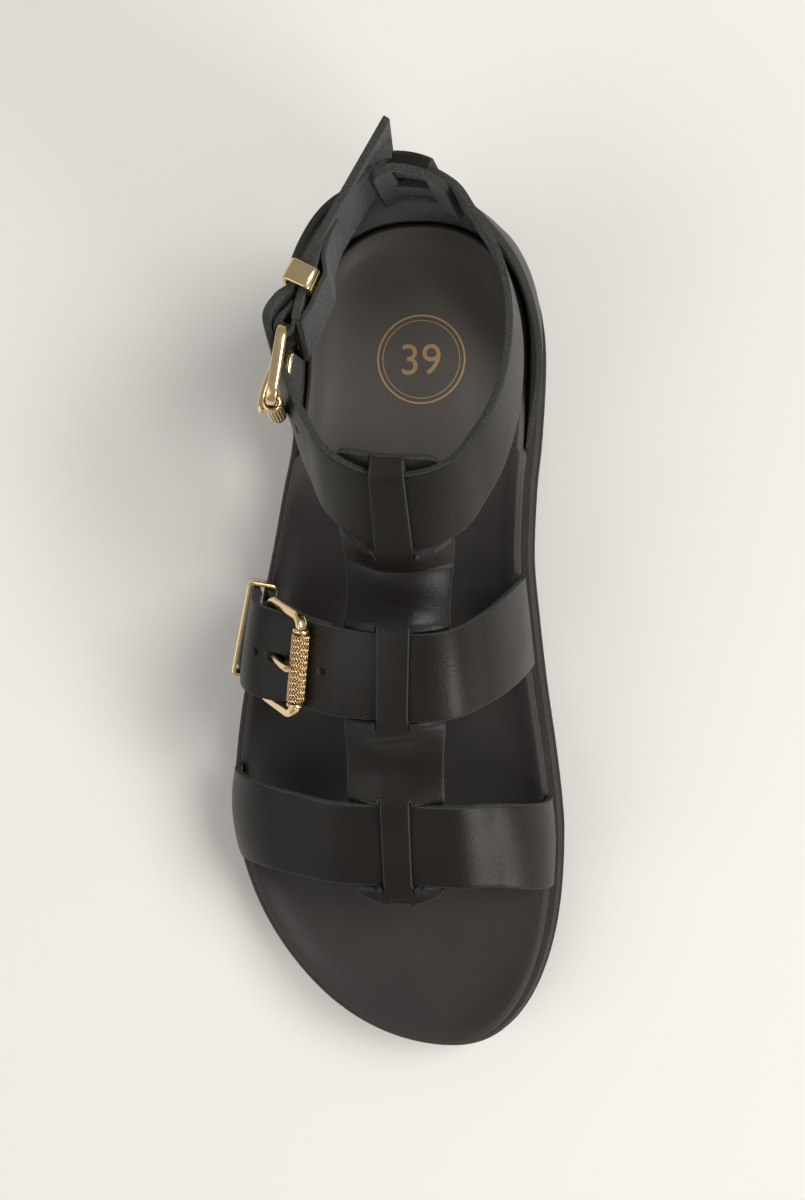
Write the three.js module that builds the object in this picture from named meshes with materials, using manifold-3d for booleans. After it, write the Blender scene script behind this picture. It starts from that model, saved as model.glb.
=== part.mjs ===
// A gladiator sandal for the right foot, size 39. Millimetres, +Z up.
// +X is the inner side of the foot and +Y the heel, so the toe points along -Y.
// A station is the distance from the back of the heel towards the toe.
import * as THREE from 'three';
import { mergeVertices } from 'three/addons/utils/BufferGeometryUtils.js';
import Module from 'manifold-3d';

const wasm = await Module();
wasm.setup();

// ---------------------------------------------------------------- driving dimensions
const SOLE_LENGTH = 262;
const GAP = 0.3;                 // between two pieces that meet
const LEATHER = 2;               // strap leather

// The round ends of the outline are superellipses.
const HEEL_END = { station: 46, halfBreadth: 39, power: 2.3 };
const TOE_TIP_X = 8.2;
const TOE_END = { inner: { station: 194, power: 2.4 }, outer: { station: 184, power: 1.9 } };
// Between them the outline runs through these half breadths.
const OUTLINE = [
  { at: 46, inner: 39.0, outer: -39.1 },
  { at: 71, inner: 37.8, outer: -41.4 },
  { at: 86, inner: 36.3, outer: -44.6 },
  { at: 106, inner: 35.5, outer: -48.7 },
  { at: 127, inner: 37.2, outer: -53.6 },
  { at: 147, inner: 39.5, outer: -58.1 },
  { at: 168, inner: 42.5, outer: -61.1 },
  { at: 184, inner: 44.4, outer: -62.3 },
  { at: 194, inner: 45.1, outer: -62.3 },
];
// Side profile: underside of the outsole and top of the welt's ledge.
const PROFILE = [
  { at: 0, under: 1.2, ledge: 24.0 },
  { at: 7, under: 0, ledge: 23.8 },
  { at: 67, under: 0, ledge: 22.5 },
  { at: 79, under: 4.5, ledge: 21.6 },
  { at: 106, under: 3.8, ledge: 18.8 },
  { at: 138, under: 0, ledge: 15.6 },
  { at: 199, under: 0, ledge: 14.4 },
  { at: 232, under: 2.4, ledge: 16.4 },
  { at: 262, under: 8, ledge: 21.5 },
];
const MIDSOLE = { thickness: 4.2, inset: 0.8, bevel: 0.7 };
const FOOTBED_INSET = 4;
// The footbed's rim and bed stand this far above the ledge.
const FOOTBED = [
  { at: 0, rim: 10.5, bed: 5.6 },
  { at: 60, rim: 10.5, bed: 5.2 },
  { at: 110, rim: 10.5, bed: 6.2 },
  { at: 160, rim: 8.0, bed: 5.0 },
  { at: 210, rim: 7.4, bed: 4.8 },
  { at: 258, rim: 7.4, bed: 5.2 },
];
const TREAD = { depth: 2.2, groove: 3.2, pitch: 9.5, border: 7 };
const TREAD_ZONES = [{ from: 12, to: 60 }, { from: 142, to: 222 }];

// ---------------------------------------------------------------- numbers from tables
// One column of a table between its rows, smooth and without overshoot. Column `at` is
// the station in mm, or an angle in degrees, that each row is for.
function column(rows, name, at) {
  const last = rows.length - 1;
  const place = Math.min(Math.max(at, rows[0].at), rows[last].at);
  let row = 0;
  while (row < last - 1 && rows[row + 1].at < place) row += 1;
  const slope = (i) => (rows[i + 1][name] - rows[i][name]) / (rows[i + 1].at - rows[i].at);
  const tangent = (i) => {
    if (i === 0 || i === last) return 0;
    const before = slope(i - 1);
    const after = slope(i);
    return before * after <= 0 ? 0 : (2 * before * after) / (before + after);
  };
  const span = rows[row + 1].at - rows[row].at;
  const t = (place - rows[row].at) / span;
  const rise = rows[row + 1][name] - rows[row][name];
  const a = tangent(row) * span;
  const b = tangent(row + 1) * span;
  return rows[row][name] + a * t + (3 * rise - 2 * a - b) * t * t + (a + b - 2 * rise) * t * t * t;
}

// A superellipse quarter: 1 at u = 0, falling to 0 at u = 1.
function quarter(u, power) {
  return Math.max(0, 1 - Math.min(1, Math.abs(u)) ** power) ** (1 / power);
}

// A cosine or sine bent into the squarer curve of a superellipse.
function bent(wave, power) {
  return Math.sign(wave) * Math.abs(wave) ** (2 / power);
}

// 0 before the start, 1 after the end, smooth between.
function ramp(start, end, value) {
  const t = Math.min(1, Math.max(0, (value - start) / (end - start)));
  return t * t * (3 - 2 * t);
}

function mix(a, b, t) {
  return a + (b - a) * t;
}

function range(count, make) {
  return Array.from({ length: count }, (_, i) => make(i));
}

// ---------------------------------------------------------------- solids
function point(x, station, z) {
  return new THREE.Vector3(x, -station, z);
}

// A closed solid from points and triangles, its faces turned outward.
function solid(points, faces) {
  const geometry = new THREE.BufferGeometry().setFromPoints(points);
  geometry.setIndex(faces.flat());
  const merged = mergeVertices(geometry, 1e-4);
  const kept = [];
  const corners = merged.index.array;
  for (let i = 0; i < corners.length; i += 3) {
    const [a, b, c] = corners.slice(i, i + 3);
    if (a !== b && b !== c && c !== a) kept.push(a, b, c);
  }
  const vertProperties = merged.attributes.position.array;
  const build = (list) => new wasm.Manifold(
    new wasm.Mesh({ numProp: 3, vertProperties, triVerts: new Uint32Array(list) }),
  );
  const made = build(kept);
  return made.volume() < 0 ? build(kept.reverse()) : made;
}

// The solid of any closed three.js geometry.
function solidOf(geometry) {
  const bare = geometry.clone();
  bare.deleteAttribute('normal');
  bare.deleteAttribute('uv');
  const points = [];
  const whole = bare.index ? bare.toNonIndexed() : bare;
  const place = whole.attributes.position;
  for (let i = 0; i < place.count; i += 1) points.push(new THREE.Vector3().fromBufferAttribute(place, i));
  return solid(points, [range(points.length, (i) => i)]);
}

// Skin over equal loops. With caps each loop is a front row and its reversed back row;
// without, the first and last loops close on themselves or on each other.
function loft(loops, { capped = false, round = false } = {}) {
  const count = loops[0].length;
  const faces = [];
  const rings = round ? loops.length : loops.length - 1;
  for (let i = 0; i < rings; i += 1) {
    const here = i * count;
    const next = ((i + 1) % loops.length) * count;
    for (let k = 0; k < count; k += 1) {
      const beside = (k + 1) % count;
      faces.push([here + k, here + beside, next + beside]);
      faces.push([here + k, next + beside, next + k]);
    }
  }
  if (capped) {
    const end = (loops.length - 1) * count;
    for (let k = 0; k < count / 2 - 1; k += 1) {
      const back = count - 1 - k;
      faces.push([k, back, back - 1], [k, back - 1, k + 1]);
      faces.push([end + k, end + back - 1, end + back], [end + k, end + k + 1, end + back - 1]);
    }
  }
  return solid(loops.flat(), faces);
}

// ---------------------------------------------------------------- the sole's outline
const SIDE_STEPS = 30;           // stations along each side of the sole

function edgeX(station, side) {
  const hand = side === 'inner' ? 1 : -1;
  if (station < HEEL_END.station) {
    const u = (HEEL_END.station - station) / HEEL_END.station;
    return hand * HEEL_END.halfBreadth * quarter(u, HEEL_END.power);
  }
  const toe = TOE_END[side];
  if (station <= toe.station) return column(OUTLINE, side, station);
  const u = (station - toe.station) / (SOLE_LENGTH - toe.station);
  return mix(TOE_TIP_X, column(OUTLINE, side, toe.station), quarter(u, toe.power));
}

// The outline's point after a number of steps: 0 is the back of the heel, the outer side
// comes first, SIDE_STEPS is the toe, and a negative step is on the inner side.
function outlinePoint(step) {
  const whole = 2 * SIDE_STEPS;
  const at = ((step % whole) + whole) % whole;
  const station = (SOLE_LENGTH / 2) * (1 - Math.cos((Math.PI * at) / SIDE_STEPS));
  return point(edgeX(station, at < SIDE_STEPS ? 'outer' : 'inner'), station, 0);
}

function stepAt(station) {
  return (SIDE_STEPS / Math.PI) * Math.acos(1 - (2 * station) / SOLE_LENGTH);
}

// The outline moved inward by an inset, in the ground plane.
function insetPoint(step, inset) {
  const nearby = 0.2;
  const run = outlinePoint(step + nearby).sub(outlinePoint(step - nearby)).normalize();
  return outlinePoint(step).add(new THREE.Vector3(-run.y, run.x, 0).multiplyScalar(inset));
}

// The middle line of the sole, where each layer's top and underside close.
const SPINE = { from: 40, to: 222 };

function spinePoint(step) {
  const station = Math.min(SPINE.to, Math.max(SPINE.from, -outlinePoint(step).y));
  return point((edgeX(station, 'inner') + edgeX(station, 'outer')) / 2, station, 0);
}

// A layer of the sole. Each ring is an inset from the outline, or null for the middle
// line, and a height by station; the list runs over the underside, up and over the top.
function soleLayer(rings) {
  const loops = rings.map(({ inset, height }) => range(2 * SIDE_STEPS, (step) => {
    const place = inset === null ? spinePoint(step) : insetPoint(step, inset);
    place.z = height(-place.y);
    return place;
  }));
  return loft(loops);
}

const ledge = (station) => column(PROFILE, 'ledge', station);
const under = (station) => column(PROFILE, 'under', station);

// ---------------------------------------------------------------- outsole
// Rubber unit sole: low heel, raised arch, toe spring, and cross lugs inside a border.
function makeOutsole() {
  const top = (station) => ledge(station) - MIDSOLE.thickness - GAP;
  const body = soleLayer([
    { inset: null, height: under },
    { inset: 14, height: under },
    { inset: 1.6, height: under },
    { inset: 0.5, height: (station) => under(station) + 1.4 },
    { inset: 0, height: (station) => mix(under(station), top(station), 0.6) },
    { inset: 0, height: (station) => top(station) - 0.6 },
    { inset: 0.6, height: top },
    { inset: null, height: top },
  ]);
  const tread = soleLayer([
    { inset: null, height: () => -1 },
    { inset: TREAD.border, height: () => -1 },
    { inset: TREAD.border, height: (station) => under(station) + TREAD.depth },
    { inset: null, height: (station) => under(station) + TREAD.depth },
  ]);
  const grooves = [];
  for (const zone of TREAD_ZONES) {
    for (let station = zone.from; station <= zone.to; station += TREAD.pitch) {
      const bar = new THREE.BoxGeometry(3 * HEEL_END.halfBreadth, TREAD.groove, 20);
      bar.translate(-5, -station, 0);
      grooves.push(solidOf(bar));
    }
  }
  return body.subtract(joined(grooves).intersect(tread));
}

function joined(solids) {
  return solids.slice(1).reduce((whole, next) => whole.add(next), solids[0]);
}

// The body of a cut or joined piece, without loose slivers and with any pinhole left
// between pressed layers closed.
function filled(piece) {
  return piece.decompose().reduce((most, body) => (body.volume() > most.volume() ? body : most));
}

// ---------------------------------------------------------------- midsole
// The welt layer: its bevelled top edge is the ledge round the shoe.
function makeMidsole() {
  const { thickness, inset, bevel } = MIDSOLE;
  const bottom = (station) => ledge(station) - thickness;
  return soleLayer([
    { inset: null, height: bottom },
    { inset, height: bottom },
    { inset, height: (station) => ledge(station) - bevel },
    { inset: inset + bevel, height: ledge },
    { inset: null, height: ledge },
  ]);
}

// ---------------------------------------------------------------- footbed
// Moulded insole: a rounded rim, a concave bed, and pockets for the straps' turned ends.
function makeFootbed(pockets) {
  const over = (share) => (station) => (
    ledge(station) + mix(column(FOOTBED, 'bed', station), column(FOOTBED, 'rim', station), share));
  const base = (station) => ledge(station) + GAP;
  const body = soleLayer([
    { inset: null, height: base },
    { inset: FOOTBED_INSET + 0.8, height: base },
    { inset: FOOTBED_INSET, height: (station) => base(station) + 1.5 },
    { inset: FOOTBED_INSET, height: over(0.45) },
    { inset: FOOTBED_INSET + 0.5, height: over(0.85) },
    { inset: FOOTBED_INSET + 1.7, height: over(1) },
    { inset: FOOTBED_INSET + 3.2, height: over(0.88) },
    { inset: FOOTBED_INSET + 7, height: over(0.4) },
    { inset: FOOTBED_INSET + 12, height: over(0.1) },
    { inset: FOOTBED_INSET + 18, height: over(0) },
    { inset: null, height: over(-0.08) },
  ]);
  return filled(pockets.reduce((whole, pocket) => whole.subtract(pocket), body));
}

// ---------------------------------------------------------------- the last
// The foot form that the straps lie on: height of its top line above the floor.
const LAST = [
  { at: 67, height: 122 },
  { at: 79, height: 105.5 },
  { at: 84, height: 100 },
  { at: 95, height: 90 },
  { at: 106, height: 83.5 },
  { at: 127, height: 79 },
  { at: 151, height: 71 },
  { at: 171, height: 60.5 },
  { at: 191, height: 51.5 },
  { at: 213, height: 45.5 },
];
// Its sections are superellipses, rounder over the instep and squarer over the toes.
const LAST_POWER = [
  { at: 151, inner: 2.25, outer: 1.9 },
  { at: 185, inner: 2.6, outer: 2.4 },
];
const LAST_CREST_X = 2.4;
const STRAP_INSET = 4.7;         // foot side of a strap, in from the sole's outline
const TUCK = { length: 8, fillet: 1 };

// Foot side of a strap where it leaves the ledge and where it starts to climb.
const tuckZ = (station) => ledge(station) + GAP + LEATHER + 0.1;
const wallZ = (station) => tuckZ(station) + TUCK.fillet;

function wallX(station, side) {
  return edgeX(station, side) - Math.sign(edgeX(station, side) - LAST_CREST_X) * STRAP_INSET;
}

// The last's section at a station, by angle: 0 is the inner side, PI the outer side.
function lastPoint(station, angle) {
  const side = angle < Math.PI / 2 ? 'inner' : 'outer';
  const power = column(LAST_POWER, side, station);
  const reach = wallX(station, side) - LAST_CREST_X;
  const x = LAST_CREST_X + Math.abs(bent(Math.cos(angle), power)) * reach;
  const rise = column(LAST, 'height', station) - wallZ(station);
  return point(x, station, wallZ(station) + rise * bent(Math.sin(angle), power));
}

// The last's surface above a place in plan.
function lastAbove(x, station) {
  const side = x > LAST_CREST_X ? 'inner' : 'outer';
  const power = column(LAST_POWER, side, station);
  const reach = wallX(station, side) - LAST_CREST_X;
  const rise = column(LAST, 'height', station) - wallZ(station);
  return point(x, station, wallZ(station) + rise * quarter((x - LAST_CREST_X) / reach, power));
}

// ---------------------------------------------------------------- leather sheets
// A sheet of leather on a grid of points on its foot side. Along crossed with across
// points away from the foot; lift raises the sheet row by row. Grown, it is the pocket
// that leaves a gap all round it.
function sheet(rows, { thickness = LEATHER, lift = () => 0, grow = 0 } = {}) {
  const stretched = grow > 0 ? stretchedRows(rows, grow) : rows;
  const loops = stretched.map((row, i) => {
    const before = stretched[Math.max(0, i - 1)];
    const after = stretched[Math.min(stretched.length - 1, i + 1)];
    const normals = row.map((_, j) => {
      const along = after[j].clone().sub(before[j]);
      const across = row[Math.min(row.length - 1, j + 1)].clone().sub(row[Math.max(0, j - 1)]);
      return along.cross(across).normalize();
    });
    const raised = (height) => row.map((p, j) => p.clone().addScaledVector(normals[j], height));
    return [...raised(lift(i) - grow), ...raised(lift(i) + thickness + grow).reverse()];
  });
  return loft(loops, { capped: true });
}

function stretchedRows(rows, by) {
  const beyond = (p, q) => p.clone().add(p.clone().sub(q).setLength(by));
  const wide = rows.map((row) => [
    beyond(row[0], row[1]), ...row, beyond(row[row.length - 1], row[row.length - 2]),
  ]);
  const end = wide.length - 1;
  const first = wide[0].map((p, j) => beyond(p, wide[1][j]));
  const final = wide[end].map((p, j) => beyond(p, wide[end - 1][j]));
  return [first, ...wide, final];
}

// ---------------------------------------------------------------- cross straps
// Stations of a strap's rear and front edges at the inner side, the crest and the outer side.
const TOE_STRAP = {
  rear: { inner: 182, crest: 178, outer: 173 },
  front: { inner: 209, crest: 203.6, outer: 200 },
};
const INSTEP_STRAP = {
  rear: { inner: 113.5, crest: 127.6, outer: 115.5 },
  front: { inner: 140.5, crest: 152, outer: 141 },
};
const SIDE_PULL_POWER = 2.2;     // how late a strap bends towards its end's station
const ACROSS_STEPS = 3;

function edgeStation(edge, angle) {
  const side = Math.cos(angle) > 0 ? edge.inner : edge.outer;
  return mix(edge.crest, side, Math.abs(Math.cos(angle)) ** SIDE_PULL_POWER);
}

// One row across a strap over the last at an angle.
function strapRow(strap, angle) {
  return range(ACROSS_STEPS + 1, (j) => {
    const rear = edgeStation(strap.rear, angle);
    return lastPoint(mix(rear, edgeStation(strap.front, angle), j / ACROSS_STEPS), angle);
  });
}

// The rows of a strap's end, from its tuck under the footbed to the foot of its wall.
function tuckRows(strap, side) {
  const inward = side === 'inner' ? -1 : 1;
  const { length, fillet } = TUCK;
  const bend = fillet * (1 - Math.SQRT1_2);
  const steps = [[length, 0], [length / 2, 0], [fillet, 0], [bend, bend]];
  return steps.map(([inset, rise]) => range(ACROSS_STEPS + 1, (j) => {
    const station = mix(strap.rear[side], strap.front[side], j / ACROSS_STEPS);
    return point(wallX(station, side) + inward * inset, station, tuckZ(station) + rise);
  }));
}

function angles(from, to, steps) {
  return range(steps + 1, (i) => mix(from, to, i / steps));
}

// ---------------------------------------------------------------- ankle ring
// The band round the ankle between two closed curves, its top and its bottom edge.
const RING = {
  centreX: 0.9,
  top: { centre: 44.8, halfWidth: 29, rear: 37.2, front: 39.1 },
  bottom: { centre: 52.3, halfWidth: 31, rear: 45.6, front: 51 },
  power: { innerFront: 2.1, innerRear: 1.95, outerRear: 1.45, outerFront: 1.9 },
};
const RING_Z = [
  { at: -90, top: 100, bottom: 81.5 },
  { at: 0, top: 101.5, bottom: 77 },
  { at: 90, top: 103, bottom: 77.5 },
];

function ringPower(x, y) {
  if (y < 0) return x > 0 ? RING.power.innerFront : RING.power.outerFront;
  return x > 0 ? RING.power.innerRear : RING.power.outerRear;
}

// 0 degrees is the inner side, 90 the rear, -90 the front; down is 0 at the top edge and
// 1 at the bottom edge.
function ringPoint(degrees, down) {
  const angle = THREE.MathUtils.degToRad(degrees);
  const cos = Math.cos(angle);
  const sin = Math.sin(angle);
  const power = ringPower(cos, sin);
  const tilt = Math.asin(sin) * THREE.MathUtils.RAD2DEG;
  const edge = (curve, name) => point(
    RING.centreX + curve.halfWidth * bent(cos, power),
    curve.centre - (sin > 0 ? curve.rear : curve.front) * bent(sin, power),
    column(RING_Z, name, tilt),
  );
  return edge(RING.top, 'top').lerp(edge(RING.bottom, 'bottom'), down);
}

// The angle at the ring's front, or at its rear, that lies over a place x.
function ringDegrees(x, end) {
  const u = (x - RING.centreX) / RING.top.halfWidth;
  const cos = Math.sign(u) * Math.abs(u) ** (ringPower(u, end) / 2);
  return end * THREE.MathUtils.radToDeg(Math.acos(cos));
}

const RING_ROW_STEPS = 2;
const ringRow = (degrees) => range(RING_ROW_STEPS + 1, (j) => ringPoint(degrees, j / RING_ROW_STEPS));

// ---------------------------------------------------------------- centre strip
const STRIP = {
  width: 27.5, bridge: 8.6, frontX: -3.4, rearX: -0.2, frontEnd: 209.5, rearEnd: 80, round: 9,
};
const RING_FRONT = RING.top.centre + RING.top.front;
const RING_FRONT_RUN = RING.bottom.centre + RING.bottom.front - RING_FRONT;
const STRIP_STEPS = { whole: 6, bridge: 2 };    // points across, less one

const SAG = { depth: 8, from: 103, to: 128, soft: 1.4 };

// The strip lies on the last, at its rear end on the front of the ankle ring, and hangs
// straight between the ring and the instep strap, with a soft bend where it leaves the ring.
function stripPoint(station, offset) {
  const x = mix(STRIP.rearX, STRIP.frontX, ramp(101, 191, station)) + offset;
  const down = (station - RING_FRONT) / RING_FRONT_RUN;
  const low = lastAbove(x, Math.max(station, 97));
  low.z -= SAG.depth * ramp(SAG.to, SAG.from, station);
  const high = ringPoint(ringDegrees(x, -1), down);
  const bend = 0.5 * (low.z + high.z + Math.hypot(low.z - high.z, SAG.soft));
  const onRing = ramp(SAG.from + 3, SAG.from - 3, station);
  const z = station > SAG.to ? low.z : mix(bend, high.z, onRing);
  return low.lerp(high, ramp(120, 102, station)).setZ(z);
}

function stripRows(halfWidth, from, to, step, across) {
  const count = Math.round(Math.abs(to - from) / step);
  return range(count + 1, (i) => {
    const station = mix(from, to, i / count);
    const half = halfWidth(station);
    return range(across + 1, (j) => stripPoint(station, mix(half, -half, j / across)));
  });
}

// Half breadth of the strip, with both ends rounded.
function stripHalf(station) {
  const end = Math.min(STRIP.frontEnd - station, station - STRIP.rearEnd);
  return (STRIP.width / 2) * quarter(1 - Math.min(1, (end + 0.3) / STRIP.round), 2.2);
}

// The slit middle of the strip, which rides over a cross strap between two stations.
const SLIT = { reach: 3.5, climb: 5 };
const LAYER = LEATHER - 0.25;    // pressed layers of one joined upper

function makeBridge(rear, front) {
  const from = front + SLIT.reach;
  const to = rear - SLIT.reach;
  const rows = stripRows(() => STRIP.bridge / 2, from, to, 2.4, STRIP_STEPS.bridge);
  const along = (i) => mix(from, to, i / (rows.length - 1));
  const lift = (i) => 2 * LAYER * Math.min(
    ramp(from, from - SLIT.climb, along(i)), ramp(to, to + SLIT.climb, along(i)));
  return sheet(rows, { lift });
}

// ---------------------------------------------------------------- heel counter
const COUNTER_TOP = [
  { at: 0, z: 88 },
  { at: 9, z: 84 },
  { at: 23, z: 69 },
  { at: 43, z: 50 },
  { at: 61, z: 35.5 },
  { at: 74, z: 28 },
];
// How far the moulded wall leans in (+) or bulges out (-) at a height, beside the heel
// and behind it.
const COUNTER_LEAN = [
  { at: 24, side: 0, back: 0 },
  { at: 44, side: -2.4, back: -0.4 },
  { at: 64, side: -0.4, back: 0.8 },
  { at: 90, side: 3.4, back: 2.8 },
];
const COUNTER_STEPS = { along: 30, up: 4 };

function counterRow(step) {
  const station = -outlinePoint(step).y;
  const foot = wallZ(station);
  const { length, fillet } = TUCK;
  const bend = fillet * (1 - Math.SQRT1_2);
  const tuck = [[length, 0], [length / 2, 0], [fillet, 0], [bend, bend]].map(([inset, rise]) => {
    const place = insetPoint(step, STRAP_INSET + inset);
    place.z = tuckZ(station) + rise;
    return place;
  });
  const top = Math.max(foot + 1, column(COUNTER_TOP, 'z', station));
  const wall = range(COUNTER_STEPS.up + 1, (j) => {
    const z = mix(foot, top, j / COUNTER_STEPS.up);
    const lean = mix(
      column(COUNTER_LEAN, 'back', z), column(COUNTER_LEAN, 'side', z), ramp(0, 16, station));
    const place = insetPoint(step, STRAP_INSET + lean);
    place.z = z;
    return place;
  });
  return [...tuck, ...wall];
}

function counterRows() {
  const end = stepAt(COUNTER_TOP[COUNTER_TOP.length - 1].at);
  const { along } = COUNTER_STEPS;
  return range(along + 1, (i) => counterRow(mix(-end, end, i / along)));
}

// ---------------------------------------------------------------- back tab
// It stands on the counter, its wings inside the ankle ring and its slit middle outside.
// Heights on it are parts of the ring's width down from the ring's top edge.
const TAB = { centreX: 5.4, width: 19, bridge: 8.6, top: -0.12, bottom: 1.35, round: 0.17 };
const TAB_SLIT = { top: -0.07, bottom: 1.2, climb: 0.16 };
const TAB_STEPS = { up: 13, across: 3 };

function tabRows(halfWidth, bottom, top) {
  return range(TAB_STEPS.up + 1, (i) => {
    const down = mix(bottom, top, i / TAB_STEPS.up);
    const half = halfWidth(down);
    return range(TAB_STEPS.across + 1, (j) => {
      const x = TAB.centreX + mix(-half, half, j / TAB_STEPS.across);
      return ringPoint(ringDegrees(x, 1), down);
    });
  });
}

function makeTab() {
  const corner = (down) => quarter(1 - Math.min(1, (down - TAB.top + 0.005) / TAB.round), 2.6);
  const plate = sheet(tabRows((down) => (TAB.width / 2) * corner(down), TAB.bottom, TAB.top));
  const down = (i) => mix(TAB_SLIT.bottom, TAB_SLIT.top, i / TAB_STEPS.up);
  const lift = (i) => 2 * LAYER * Math.min(
    ramp(TAB_SLIT.bottom, TAB_SLIT.bottom - TAB_SLIT.climb, down(i)),
    ramp(TAB_SLIT.top, TAB_SLIT.top + TAB_SLIT.climb / 2, down(i)));
  const bridge = sheet(tabRows(() => TAB.bridge / 2, TAB_SLIT.bottom, TAB_SLIT.top), { lift });
  return joined([plate, bridge]);
}

// ---------------------------------------------------------------- where each strap rides
// How far a strap stands off the last, by angle over the foot in degrees.
const TOE_LIFT = [
  { at: 58, lift: 0 }, { at: 78, lift: LAYER }, { at: 109, lift: LAYER }, { at: 128, lift: 0 },
];
const INSTEP_LIFT = [
  { at: 54, lift: 0 },
  { at: 75, lift: LAYER },
  { at: 107, lift: LAYER },
  { at: 113, lift: 2.4 },
  { at: 118, lift: 2.4 },
  { at: 123, lift: 2.5 },
  { at: 140.4, lift: 8.1 },
  { at: 147, lift: 6.5 },
  { at: 154, lift: 3.6 },
  { at: 167, lift: 3.3 },
  { at: 173, lift: 5.0 },
];
// The ankle strap starts inside its buckle's hinge, goes round the heel, the inner side
// and the front, and crosses its own start on the outer side: -185 is the hinge again.
const ANKLE_LIFT = [
  { at: -206, lift: -0.9 },
  { at: -200, lift: -0.5 },
  { at: -194.5, lift: 1.8 },
  { at: -185, lift: 3.5 },
  { at: -168, lift: 1.6 },
  { at: -156, lift: 0.3 },
  { at: -140, lift: 0.5 },
  { at: -126, lift: LAYER },
  { at: -62, lift: LAYER },
  { at: -46, lift: 0.5 },
  { at: 45, lift: 0.5 },
  { at: 60, lift: LAYER },
  { at: 110, lift: LAYER },
  { at: 128, lift: 0 },
  { at: 152, lift: -3.6 },
  { at: 176, lift: -4.2 },
];
const INSTEP_AT = { hinge: 140.4, keeper: 162, end: 173, underlay: 116.5 };
const ANKLE_AT = { hinge: -185, keeper: -206, start: 176 };
const TAIL = { tipX: 0.4, tipStation: -2.6, rise: 6, steps: 5 };

const toeRow = (degrees) => strapRow(TOE_STRAP, THREE.MathUtils.degToRad(degrees));
const instepRow = (degrees) => strapRow(INSTEP_STRAP, THREE.MathUtils.degToRad(degrees));

function middle(row) {
  return row[0].clone().add(row[row.length - 1]).multiplyScalar(0.5);
}

// The axes at the middle of a strap at an angle: along it, across it, and off the foot.
function axesAt(rowAt, degrees, direction) {
  const near = 0.5 * direction;
  const along = middle(rowAt(degrees + near)).sub(middle(rowAt(degrees - near))).normalize();
  const row = rowAt(degrees);
  const across = row[row.length - 1].clone().sub(row[0]).normalize();
  const off = along.clone().cross(across).normalize();
  return { place: middle(row), along, across, off };
}

// ---------------------------------------------------------------- the upper's pieces
function makeToeStrap() {
  const over = angles(0, 180, 34);
  const inner = tuckRows(TOE_STRAP, 'inner');
  const outer = tuckRows(TOE_STRAP, 'outer').reverse();
  const rows = [...inner, ...over.map(toeRow), ...outer];
  const lift = (i) => column(TOE_LIFT, 'lift', over[i - inner.length] ?? 0);
  return { rows, lift };
}

function makeInstepStrap() {
  const over = angles(0, INSTEP_AT.end, 46);
  const inner = tuckRows(INSTEP_STRAP, 'inner');
  const rows = [...inner, ...over.map(instepRow)];
  const lift = (i) => column(INSTEP_LIFT, 'lift', over[i - inner.length] ?? 0);
  return { rows, lift };
}

function makeBuckleStrap() {
  const over = angles(INSTEP_AT.underlay, 180, 14);
  const rows = [...over.map(instepRow), ...tuckRows(INSTEP_STRAP, 'outer').reverse()];
  return { rows };
}

function makeAnkleStrap() {
  const round = angles(ANKLE_AT.start, ANKLE_AT.keeper, 76);
  const rows = round.map(ringRow);
  const last = rows[rows.length - 1];
  const tip = point(TAIL.tipX, TAIL.tipStation, middle(last).z + TAIL.rise);
  const step = tip.sub(middle(last)).divideScalar(TAIL.steps);
  const tail = range(TAIL.steps, (k) => last.map((p) => p.clone().addScaledVector(step, k + 1)));
  const lift = (i) => column(ANKLE_LIFT, 'lift', round[Math.min(i, round.length - 1)]);
  return { rows: [...rows, ...tail], lift };
}

// ---------------------------------------------------------------- roller buckles
// Both buckles are alike. In a buckle's own frame x runs from the hinge bar to the
// roller, y along the bars and z off the foot; the origin is the middle of the hinge bar.
const BUCKLE = {
  length: 20, inside: 26.6, wire: 1.3, corner: 3.5, roller: 2.5, rollerLength: 23,
};
const PRONG = { eye: 2.3, width: 3.4, shank: 1.05, hole: { from: 1.2, to: 12.4, width: 3.2 } };
const WRAP = { thickness: 1.2, slot: 5.2, width: 23.4 };
const ROUND_STEPS = 12;

const circle = (steps, make) => range(steps, (i) => {
  const turn = (2 * Math.PI * i) / steps;
  return make(Math.cos(turn), Math.sin(turn));
});

// A bar of round section along a path in the x-z or x-y plane of the buckle.
function bar(path, radii, side, options) {
  const loops = path.map((place, i) => {
    const last = path.length - 1;
    const before = options.round ? path[(i + last) % path.length] : path[Math.max(0, i - 1)];
    const after = options.round ? path[(i + 1) % path.length] : path[Math.min(last, i + 1)];
    const outward = after.clone().sub(before).cross(side).normalize();
    return circle(ROUND_STEPS, (cos, sin) => place.clone()
      .addScaledVector(outward, radii(i) * cos).addScaledVector(side, radii(i) * sin));
  });
  return loft(loops, options);
}

function makeFrame() {
  const { length, corner, wire, inside } = BUCKLE;
  const half = inside / 2 + wire;
  const corners = [[length, half, 0], [0, half, 90], [0, -half, 180], [length, -half, 270]];
  const path = corners.flatMap(([x, y, turn]) => range(7, (i) => {
    const angle = THREE.MathUtils.degToRad(turn + 15 * i);
    const centre = new THREE.Vector3(x - Math.sign(x - 1) * corner, y - Math.sign(y) * corner, 0);
    return centre.add(new THREE.Vector3(Math.cos(angle), Math.sin(angle), 0).multiplyScalar(corner));
  }));
  return bar(path, () => wire, new THREE.Vector3(0, 0, 1), { round: true });
}

// A ring or sleeve along y, turned from its four corners in section.
function sleeve(inner, outer, length) {
  const corners = [[inner, -1], [outer, -1], [outer, 1], [inner, 1]];
  const loops = circle(24, (cos, sin) => corners.map(([radius, end]) => (
    new THREE.Vector3(radius * cos, (end * length) / 2, radius * sin))));
  return loft(loops, { round: true });
}

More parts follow.
